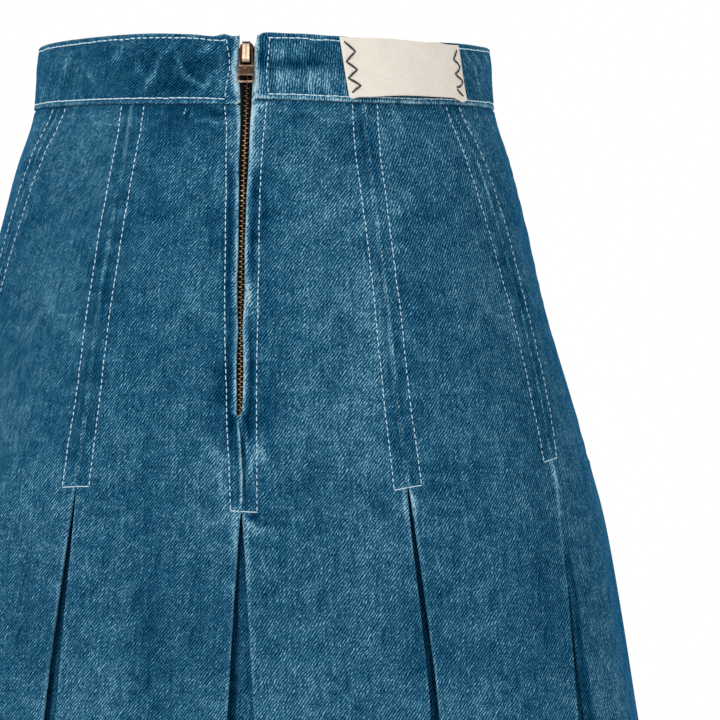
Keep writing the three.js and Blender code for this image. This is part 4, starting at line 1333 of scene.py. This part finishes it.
def stitchTubes(place, starts, ends, look=thread, wander=0.05, seed=1):
    # each stitch is a short tube that rises out of the cloth, lies on it and goes back in; place(s, lift)
    # gives the point at a distance s along the row, lifted off the cloth
    t = np.linspace(0, 1, look["stations"])[None, :]
    s = starts[:, None] + t * (ends - starts)[:, None]
    lift = -look["sink"] + (look["sink"] + look["rise"]) * np.sin(np.pi * t) ** 0.5 + 0 * s
    centre = place(s, lift)
    ahead = place(s + 0.05, lift) - place(s - 0.05, lift)
    outward = place(s, lift + 0.5) - centre
    ahead /= np.linalg.norm(ahead, axis=-1, keepdims=True)
    outward /= np.linalg.norm(outward, axis=-1, keepdims=True)
    sideways = np.cross(ahead, outward)
    sideways /= np.linalg.norm(sideways, axis=-1, keepdims=True)
    random = np.random.default_rng(seed)
    slip = random.normal(0, wander, (len(starts), 1, 1))
    slip = slip + random.normal(0, wander, (len(starts), 1, 1)) * (t - 0.5)[..., None]
    centre = centre + sideways * slip
    angle = np.linspace(0, 2 * np.pi, look["sides"], endpoint=False)
    taper = (1 - look["taper"] * (1 - np.sin(np.pi * t)))[..., None, None]
    rings = centre[:, :, None, :] + taper * (
        look["halfWidth"] * np.cos(angle)[None, None, :, None] * sideways[:, :, None, :]
        + look["halfHeight"] * np.sin(angle)[None, None, :, None] * outward[:, :, None, :]
    )
    return tubeFaces(rings)


def tubeFaces(rings):
    # quads round each tube and on its ends; rings is tubes x stations x sides x 3
    count, stations, sides = rings.shape[:3]
    base = (np.arange(count) * stations * sides)[:, None, None]
    row = (np.arange(stations - 1) * sides)[None, :, None]
    here = np.arange(sides)[None, None, :]
    ahead = (here + 1) % sides
    walls = np.stack([
        base + row + here, base + row + here + sides, base + row + ahead + sides, base + row + ahead,
    ], axis=-1).reshape(-1, 4)
    quads = np.array(endQuads[sides])
    first = (base[:, :, 0, None] + quads[None]).reshape(-1, 4)
    last = (base[:, :, 0, None] + (stations - 1) * sides + quads[None, :, ::-1]).reshape(-1, 4)
    return rings.reshape(-1, 3), np.concatenate([walls, first, last])


def sewPiece(name, parts, material):
    # all the stitches of a piece in one mesh
    starts = np.cumsum([0] + [len(points) for points, faces in parts[:-1]])
    faces = np.concatenate([quads + start for (points, quads), start in zip(parts, starts)])
    finishPiece(meshFrom(name, np.concatenate([points for points, quads in parts]), faces), material)
    print(name, "made:", len(faces), "faces")


def evenStitches(length, pitch, share=thread["share"]):
    count = max(int(round(length / pitch)), 1)
    step = length / count
    starts = np.arange(count) * step
    return starts, starts + step * share


def onGore(gore, arc, z, lift):
    left, right = goreEdges(gore, z)
    depth, wearAndShade = goreDepth(gore, z, arc, left, right)
    return formPoint(degreesOf(arc, z), followBand(z, degreesOf(arc, z)), depth - lift)


def onBand(arc, z, lift):
    relief, wearAndShade = bandRelief(arc, z, *bandEdges(arc))
    return formPoint(bandDegrees(arc), z, -cut["bandProud"] - relief - lift)


def pleatStitches(index):
    # the long U: down beside the left fold, across the bar and up beside the right fold
    pleat = pleats[index]
    parts = []
    foot = pleat["bar"]
    start = topRow - sewing["belowBand"]
    across = float(stitchOffset(pleat, 1, foot) + stitchOffset(pleat, -1, foot))
    for side in (-1, 1):
        gore = index if side > 0 else (index - 1) % len(pleats)
        turns = 1 if (side < 0 and index == 0) else 0
        reach = float(stitchOffset(pleat, side, foot))
        rise = pleat["tilt"] * side * reach / across

        def onSide(away, z, lift, side=side, gore=gore, turns=turns):
            middle = pleatAt(index, z)["line"] + turns * totalAt(z)
            return onGore(gore, middle + side * away, z, lift)

        def down(s, lift, side=side, onSide=onSide):
            z = start - s
            wobble = 0.12 * np.sin(s / 17 + index * 2 + side) + 0.07 * np.sin(s / 5.3 + index)
            return onSide(stitchOffset(pleat, side, z) + side * wobble, z, lift)

        def bar(s, lift, onSide=onSide, slope=rise / reach):
            return onSide(s, foot + slope * s + 0 * lift, lift)

        starts, ends = evenStitches(start - foot - rise, thread["pitch"])
        parts.append(stitchTubes(down, starts, ends, seed=10 * index + side + 1))
        for offset in sewing["barPasses"]:
            starts = np.array([0.15 + offset, 0.15 + offset + reach / 2])
            ends = np.minimum(starts + reach / 2 - 0.1, reach + 0.2)
            parts.append(stitchTubes(bar, starts, ends, barThread, 0.03, seed=200 + 10 * index + side))
    return parts


def tack():
    # a short tack of two stitches under the waistband
    arc, z = sewing["tackStart"]

    def place(s, lift):
        return onGore(centreBack - 1, arc - 0.25 * s, z - s, lift)

    return stitchTubes(place, *evenStitches(*sewing["tack"]), seed=7)


def bandRow(nearTop):
    start = sewing["bandStart"]
    length = float(totalAt(0)) - sewing["bandEnd"] - start

    def place(s, lift):
        wobble = 0.15 * np.sin(s / 23) + 0.08 * np.sin(s / 7.1)
        top, bottom = bandEdges(s + start)
        z = (top - bandLook["stitchInset"]) if nearTop else (bottom + bandLook["footInset"])
        return onBand(s + start, z + wobble, lift)

    starts, ends = evenStitches(length, sewing["bandPitch"], sewing["bandShare"])
    return stitchTubes(place, starts, ends, bandThread, 0.1, seed=31 + nearTop)


def bandEnd(turnArc, lean, power, outward):
    # the upright row beside an end of the band, which bows aside by its lean
    head = float(bandTopAt(turnArc)) - bandLook["stitchInset"]
    foot = float(bandBottomAt(float(degreesOf(turnArc, 0.0)))) + bandLook["footInset"]

    def place(s, lift):
        down = np.clip(s / (head - foot), 0, 1)
        arc = turnArc + outward * (1 - down) + lean * np.sin(np.pi * down ** power) ** 2 + 0 * lift
        return onBand(arc, head - s, lift)

    starts, ends = evenStitches(head - foot, sewing["endPitch"], sewing["endShare"])
    return stitchTubes(place, starts, ends, thread, 0.12, seed=41)


def hemRow(gore):
    z0 = cut["hem"] + sewing["hemUp"]
    left, right = goreEdges(gore, np.array([z0]))
    start = float(left["edge"][0]) + sewing["hemInset"]
    end = float(right["edge"][0]) - sewing["hemInset"]

    def place(s, lift):
        return onGore(gore, start + s, z0 + 0.2 * np.sin(s / 15 + gore) + 0 * lift, lift)

    return stitchTubes(place, *evenStitches(end - start, sewing["hemPitch"]), seed=60 + gore)


seams = [part for index in range(len(pleats)) for part in pleatStitches(index)]
sewPiece("pleat_topstitching", seams + [tack()], paleThread)
sewPiece("waistband_topstitching", [
    bandRow(True), bandRow(False),
    bandEnd(sewing["bandStart"], -0.8, 1.36, 0.9),
    bandEnd(float(totalAt(0)) - sewing["bandEnd"], 1.9, 0.8, 0),
], paleThread)
sewPiece("hem_topstitching", [hemRow(gore) for gore in range(len(pleats))], paleThread)

# Label

label = {
    "upper": ((28.2, 17.0), (66.2, 15.3)),  # its corners, in degrees round and height
    "lower": ((30.2, -14.3), (68.0, -13.6)),
    "width": 63,
    "height": 31.5,
    "thickness": 0.8,
    "gape": 1.9,
    "edgeRadius": 0.3,
    "edgeReach": 0.5,
    "columns": 91,
    "rows": 22,
    "nearEdge": (0.95, 0.975, 0.992, 1),  # rows closer together, as shares of the height
    "cornerWidth": 48,  # what the edges' rounding counts by
    "sewnWidth": 62,  # what the zigzags' lengths count by
    "weaveWidth": 60,  # what the weave counts by
    "weaveHeight": 31,
}

# How far the lower edge is drawn up between its corners, and the upper edge waves, by the place along them
labelEdges = namedColumns("along lower upper", [
    (1.0, 0.5, -0.1), (0.97, -0.2, -0.2), (0.93, -1.0, -0.3), (0.89, 0.1, -0.35), (0.85, 0.95, -0.2),
    (0.8, 1.1, 0.2), (0.66, 1.15, -0.25), (0.43, 1.2, 0.2), (0.29, 0.8, 0.15), (0.17, 0.2, -0.1),
    (0.06, -0.1, -0.2), (0.02, -0.9, -0.1), (0.0, -0.2, 0),
])


def labelPoint(along, up, lift):
    # between its four corners, with waving edges, and its lower edge standing off the band
    upper, lower = (
        [first + along * (last - first) for first, last in zip(*label[edge])] for edge in ("upper", "lower")
    )
    here = np.clip(along, 0, 1)
    top = upper[1] + columnAt(labelEdges, "upper", here, by="along")
    foot = lower[1] + columnAt(labelEdges, "lower", here, by="along")
    angle = lower[0] + up * (upper[0] - lower[0])
    z = foot + up * (top - foot)
    gape = label["gape"] * np.sin(np.pi * here) ** 0.5 * np.clip(1 - up, 0, 1) ** 1.5
    gape = gape * (0.75 + 0.35 * np.sin(7 * here - 0.6))
    ripple = 0.3 * np.sin(9.5 * along + 1.2 * up) * np.sin(np.pi * here) * (1 - 0.6 * up)
    depth = -cut["bandProud"] - cut["bandPuff"] - cut["seamGap"] - lift - gape - np.abs(ripple)
    return formPoint(angle, z, depth)


def makeLabel():
    along = np.linspace(0, 1, label["columns"])[:, None]
    innermost, *rest = label["nearEdge"]
    head = np.array(rest[::-1])
    middle = np.linspace(innermost, 1 - innermost, label["rows"])
    up = np.concatenate([head, middle, 1 - head[::-1]])[None, :]
    fromEnds = np.minimum(along, 1 - along) * label["cornerWidth"]
    edge = np.minimum(fromEnds, np.minimum(up, 1 - up) * label["weaveHeight"])
    rounding = label["edgeRadius"] * (1 - np.clip(edge / label["edgeReach"], 0, 1)) ** 2
    outer = labelPoint(along, up, label["thickness"] - rounding)
    inner = labelPoint(along, up, rounding)
    maps = [flatMap(label["weaveWidth"] * along, label["weaveHeight"] * up)] * 2
    piece = wallMesh("label_cloth", outer, inner, None, maps)
    finishPiece(piece, labelCotton, ("label",))


# The corners of the black zigzags that hold the label's ends: place along it and up it
labelZigzags = (
    ((0.03, 0.925), (0.104, 0.767), (0.021, 0.6), (0.095, 0.458), (0.016, 0.335), (0.1, 0.19), (0.026, 0.1)),
    ((0.964, 0.91), (0.915, 0.745), (0.962, 0.66), (0.966, 0.58), (0.908, 0.49), (0.97, 0.38), (0.968, 0.31),
     (0.9, 0.245)),
    ((0.898, 0.205), (0.952, 0.105)),
)


def labelZigzag(corners, seed):
    # long black stitches from corner to corner
    parts = []
    for start, end in zip(np.array(corners[:-1]), np.array(corners[1:])):
        way = end - start
        span = math.hypot(way[0] * label["sewnWidth"], way[1] * label["weaveHeight"])

        def place(s, lift, start=start, step=way / span):
            return labelPoint(start[0] + s * step[0], start[1] + s * step[1], lift + label["thickness"])

        parts.append(stitchTubes(place, np.array([-0.1]), np.array([span + 0.1]), zigThread, 0.0, seed))
    return parts


makeLabel()
print("label made")
zigzags = [part for seed, corners in enumerate(labelZigzags) for part in labelZigzag(corners, seed)]
sewPiece("label_zigzags", zigzags, blackThread)

# Zip

zipper = {
    "depth": 4.1,
    "chainWidth": 4.6,
    "chainTop": 8.4,
    "tapeTop": 11,
    "tapeWidth": 12,
    "tapeThickness": 1,
    "tapeBehind": 1.75,  # how far the tape's inner edge drops behind the teeth
    "hidden": 3,  # of the tape's width, behind the teeth
    "bottom": -190,
    "pitch": 2.6,
    "hinge": 12,
    "lean": 0.141897,  # radians that the slider leans with the skirt there
}


def zipPoint(x, z, depth):
    shape = np.broadcast(x, z, depth).shape
    y = formPoint(np.zeros(shape), np.broadcast_to(z, shape), np.broadcast_to(depth, shape))[..., 1]
    return np.stack(np.broadcast_arrays(x, y, z), axis=-1)


def makeTape(side):
    z = np.linspace(zipper["bottom"], zipper["tapeTop"], 90)[:, None]
    edge = zipper["chainWidth"] / 2 + cut["seamGap"]
    # below the slider each tape runs on behind the teeth, almost to the middle
    inside = 0.1 + (edge - 0.1) * smoothStep(4.5, 7, z)
    share = np.linspace(0, 1, 6)[None, :-1]
    past = np.linspace(0, 1, 15)[None, :] * zipper["tapeWidth"]
    x = np.concatenate([inside + share * (edge - inside), edge + past + 0 * z], axis=1)
    if side < 0:
        x = -x[:, ::-1]
    bead = 0.12 * bump(np.abs(x) - edge - 0.9, 0.6)
    behind = zipper["tapeBehind"] * smoothStep(edge, edge - 0.5, np.abs(x))
    outward = zipper["depth"] - zipper["tapeThickness"] / 2 + behind
    outer = zipPoint(x, z, outward - bead)
    inner = zipPoint(x, z, outward + zipper["tapeThickness"] + bead)
    name = "left" if side < 0 else "right"
    piece = wallMesh(f"zip_tape_{name}_cloth", outer, inner, None, [flatMap(x, z)] * 2)
    finishPiece(piece, zipCloth, (f"zip_tape_{name}",))


# A tooth: distance from the tape towards the middle, half height, half depth
toothSections = namedColumns("in high deep", [
    (0.0, 0.30, 0.55), (0.12, 0.5, 0.95), (1.3, 0.52, 1.0), (2.1, 0.60, 1.08), (2.75, 0.56, 1.0),
    (2.95, 0.3, 0.6),
])
tooth = {
    "sides": 8,
    "squareness": 0.6,
    "fromTop": 1.2,
    "fromFoot": 0.8,
    "polishAndGlint": 0.55,
}


def makeTeeth():
    # each tooth is a rounded bar that reaches from its tape past the middle, thicker at its head; its
    # section is a rounded box, and those of the two sides take turns
    angle = np.linspace(0, 2 * np.pi, tooth["sides"], endpoint=False) + np.pi / tooth["sides"]
    squareHigh, squareDeep = (
        (np.sign(wave) * np.abs(wave) ** tooth["squareness"])[None, None, :]
        for wave in (np.cos(angle), np.sin(angle))
    )
    inward, high, deep = (toothSections[key][None, :, None] for key in ("in", "high", "deep"))
    rings, rubsAndPaintedLight = [], []
    for side in (-1, 1):
        start = zipper["chainTop"] - tooth["fromTop"] - (zipper["pitch"] / 2 if side > 0 else 0)
        levels = np.arange(start, zipper["bottom"] + tooth["fromFoot"], -zipper["pitch"])[:, None, None]
        z = levels + high * squareHigh
        x = side * (zipper["chainWidth"] / 2 - inward) + 0 * z
        made = zipPoint(x, z, zipper["depth"] + deep * squareDeep + 0 * z)
        # rubbed plating and painted highlights on the outer side, the left row's more than the right row's,
        # brightest in a painted glint 66 mm below the waist, and unevenly down the zip
        facing = np.clip(-squareDeep, 0, 1) * (inward > 0.1)
        polishAndGlint = tooth["polishAndGlint"] + 0.5 * bump(levels + 66, 5)
        polishAndGlint = polishAndGlint + 0.18 * np.sin(levels / 5.1) * np.sin(levels / 17)
        if side > 0:
            fade = smoothStep(-46, -62, levels) - smoothStep(-128, -150, levels)
            polishAndGlint = polishAndGlint * (0.9 - 0.5 * fade)
        # the upper teeth only at their tips, a painted highlight, and painted shadow where the tab covers
        # them
        tips = 1 - smoothStep(-66, -58, levels) * (0.72 - 0.85 * bump(x, 0.75))
        covered = 0.35 + 0.65 * smoothStep(-16, -23, levels)
        rubAndPaintedLight = np.clip(polishAndGlint * facing * tips * covered, 0, 1)
        rings.append(made if side < 0 else made[:, :, ::-1])
        rubsAndPaintedLight.append(rubAndPaintedLight if side < 0 else rubAndPaintedLight[:, :, ::-1])
    points, faces = tubeFaces(np.concatenate(rings))
    piece = meshFrom("zip_teeth", points, faces, None, {"rubAndPaintedLight": np.concatenate(rubsAndPaintedLight)})
    finishPiece(piece, zipBrass, ("zip_chain",))


def paintRubAndLight(piece, rubAndPaintedLightAt):
    # how much of the plating is rubbed through, with painted highlights and shade, by a point's place in the
    # slider's own leaning frame
    points = np.zeros(len(piece.data.vertices) * 3)
    piece.data.vertices.foreach_get("co", points)
    points = points.reshape(-1, 3) / mm - formPoint(0.0, zipper["hinge"], 0.0)
    c, s = math.cos(zipper["lean"]), math.sin(zipper["lean"])
    x, y, z = points.T
    rubAndPaintedLight = rubAndPaintedLightAt(np.abs(x), c * y - s * z, s * y + c * z)
    layer = piece.data.attributes.new("rubAndPaintedLight", "FLOAT", "POINT")
    layer.data.foreach_set("value", np.clip(rubAndPaintedLight, -0.3, 1).astype(np.float32))


def sliderRubAndLight(aside, inward, up):
    # painted highlights on its face, along both sides of the middle and towards its foot, and painted shade
    # at its rims and rounded top
    face = smoothStep(-2.6, -3.2, inward) * smoothStep(1.2, -0.5, up)
    rubbedWithPaintedLight = 0.44 + 0.35 * bump(aside - 1.1, 0.5) + 0.15 * smoothStep(-4, -7.5, up)
    return face * (rubbedWithPaintedLight - 0.45 * smoothStep(1.7, 2.1, aside)) - 0.1


def tabRubAndLight(aside, inward, up):
    # rubbed plating and painted highlights: the edges of its window, and its foot, mostly at the corners
    window = 0.2 * bump(up + 10.8, 0.5) + 0.16 * bump(up + 15.4, 0.5)
    foot = 0.35 * smoothStep(-17.5, -19.5, up) * (0.55 + 0.45 * smoothStep(0.8, 1.4, aside))
    return window - 0.03 + foot


# Each metal piece: its name and body, how much its edges are rounded, where it is rubbed and given painted
# highlights and shade, and the cuts down and across it that hold those places, from the middle and from the
# tab's hinge
metalPieces = {
    "slider": {
        "name": "zip_slider_metal",
        "body": "skirt",
        "rounding": 0.3,
        "rubAndPaintedLight": sliderRubAndLight,
        "downCuts": (-1.75, -1.4, -1, -0.5, 0, 0.5, 1, 1.4, 1.75),
        "crossCuts": (-7, -4, -1, -0.5, 0.3, 1.2, 4),
    },
    "pull_tab": {
        "name": "pull_tab_metal",
        "body": "pull_tab",
        "rounding": 0.2,
        "rubAndPaintedLight": tabRubAndLight,
        "downCuts": (-1.5, -1, 0, 1, 1.5),
        "crossCuts": (-17.6, -16, -15.4, -14.8, -13, -11.4, -10.8, -10.2, -8.6),
    },
}


metalLook = {
    "flat": 2,  # degrees between faces that are joined
    "sharp": 35,  # and between those whose edge is rounded
    "smooth": 40,
    "segments": 3,
    "merge": 0.02,
    "cutMerge": 0.01,
}


def makeMetal(node, look):
    # a finer copy of a metal node: flat faces joined, then every edge rounded
    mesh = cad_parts[node].data.copy()
    mesh.materials.clear()
    shape = bmesh.new()
    shape.from_mesh(mesh)
    bmesh.ops.remove_doubles(shape, verts=shape.verts, dist=metalLook["merge"] * mm)
    flat = math.radians(metalLook["flat"])
    bmesh.ops.dissolve_limit(
        shape, angle_limit=flat, verts=shape.verts, edges=shape.edges, delimit={"NORMAL"},
    )
    shape.to_mesh(mesh)
    shape.free()
    mesh.name = look["name"]
    piece = linkObject(look["name"], mesh)
    bevel = piece.modifiers.new("rounded edges", "BEVEL")
    bevel.width = look["rounding"] * mm
    bevel.segments = metalLook["segments"]
    bevel.limit_method = "ANGLE"
    bevel.angle_limit = math.radians(metalLook["sharp"])
    bpy.context.view_layer.objects.active = piece
    piece.select_set(True)
    bpy.ops.object.modifier_apply(modifier=bevel.name)
    shape = bmesh.new()
    shape.from_mesh(piece.data)
    hinge = np.array([0, *formPoint(0.0, zipper["hinge"], 0.0)[1:]])
    lean = (0, math.sin(zipper["lean"]), math.cos(zipper["lean"]))
    for normal, places in (((1, 0, 0), look["downCuts"]), (lean, look["crossCuts"])):
        for place in places:
            shape.normal_update()
            point = (hinge + place * np.array(normal)) * mm
            everything = shape.verts[:] + shape.edges[:] + shape.faces[:]
            bmesh.ops.bisect_plane(
                shape, geom=everything, dist=metalLook["cutMerge"] * mm, plane_co=point, plane_no=normal,
            )
    shape.to_mesh(piece.data)
    shape.free()
    bpy.ops.object.shade_smooth_by_angle(angle=math.radians(metalLook["smooth"]))
    piece.select_set(False)
    paintRubAndLight(piece, look["rubAndPaintedLight"])
    finishPiece(piece, sliderBrass, (node,), body=look["body"])


makeTape(-1)
makeTape(1)
makeTeeth()
for node, look in metalPieces.items():
    makeMetal(node, look)
print("zip made")

# Camera, floor and light


def turnedTo(side, up, back, place):
    # the matrix of a camera or lamp that looks along -back, with its place in millimetres
    matrix = np.eye(4)
    matrix[:3] = np.stack([side, up, back, place * mm], axis=1)
    return Matrix(matrix.tolist())


def placeCamera():
    azimuth, elevation = math.radians(view["azimuth"]), math.radians(view["elevation"])
    level = math.cos(elevation)
    back = np.array([math.sin(azimuth) * level, -math.cos(azimuth) * level, math.sin(elevation)])
    right = np.array([math.cos(azimuth), math.sin(azimuth), 0])
    up = np.cross(back, right)
    centre = view["framePixels"] / 2
    scale = view["mmPerPixel"]
    aim = (centre - view["originPixel"][0]) * scale * right - (centre - view["originPixel"][1]) * scale * up
    camera = linkObject("camera", bpy.data.cameras.new("camera"))
    camera.matrix_world = turnedTo(right, up, back, aim + view["distance"] * back)
    camera.data.sensor_width = view["sensor"]
    camera.data.lens = view["sensor"] * view["distance"] / (view["framePixels"] * scale)
    camera.data.clip_end = 20
    bpy.context.scene.camera = camera
    return right, up, back


studio = {
    "world": 1.0,
    "paper": "#f2f2f2",
    "floorHeight": -1000,
    "floorRadius": 2400,
    "floorSides": 96,
    "aim": (0, 0, -200),
    "lamps": (  # name, place to the right, up and back as the camera sees it, size in metres, power
        ("key", (-1000, 900, 1300), 1.6, 26.0),
        ("fill", (1300, -100, 1600), 1.8, 8.0),
    ),
}


def addLamp(name, place, size, power):
    lamp = linkObject(name, bpy.data.lights.new(name, "AREA"))
    lamp.data.size = size
    lamp.data.energy = power
    back = place - np.array(studio["aim"])
    back = back / np.linalg.norm(back)
    side = np.cross([0, 0, 1], back)
    side = side / np.linalg.norm(side)
    lamp.matrix_world = turnedTo(side, np.cross(back, side), back, place)


def makeStudio():
    axes = np.array(placeCamera())
    for name, place, size, power in studio["lamps"]:
        addLamp(name, np.array(place) @ axes, size, power)
    world = bpy.data.worlds.new("white_studio")
    world.use_nodes = True
    light = world.node_tree.nodes["Background"]
    setInputs(world.node_tree, light, {"Color": (1, 1, 1, 1), "Strength": studio["world"]})
    bpy.context.scene.world = world
    turn = np.linspace(0, 2 * np.pi, studio["floorSides"], endpoint=False)
    radius = studio["floorRadius"]
    rim = np.stack([radius * np.cos(turn), radius * np.sin(turn), 0 * turn + studio["floorHeight"]], axis=-1)
    mesh = bpy.data.meshes.new("floor")
    mesh.from_pydata((rim * mm).tolist(), [], [list(range(len(rim)))])
    floor = linkObject("floor", mesh)
    paper, tree, shader = newMaterial("white_studio_paper")
    setInputs(tree, shader, {"Base Color": linear(studio["paper"]), "Roughness": 0.9})
    floor.data.materials.append(paper)
    colours = bpy.context.scene.view_settings
    colours.view_transform = "Standard"
    colours.look = "None"
    colours.exposure = 0
    colours.gamma = 1


makeStudio()
print("studio made")
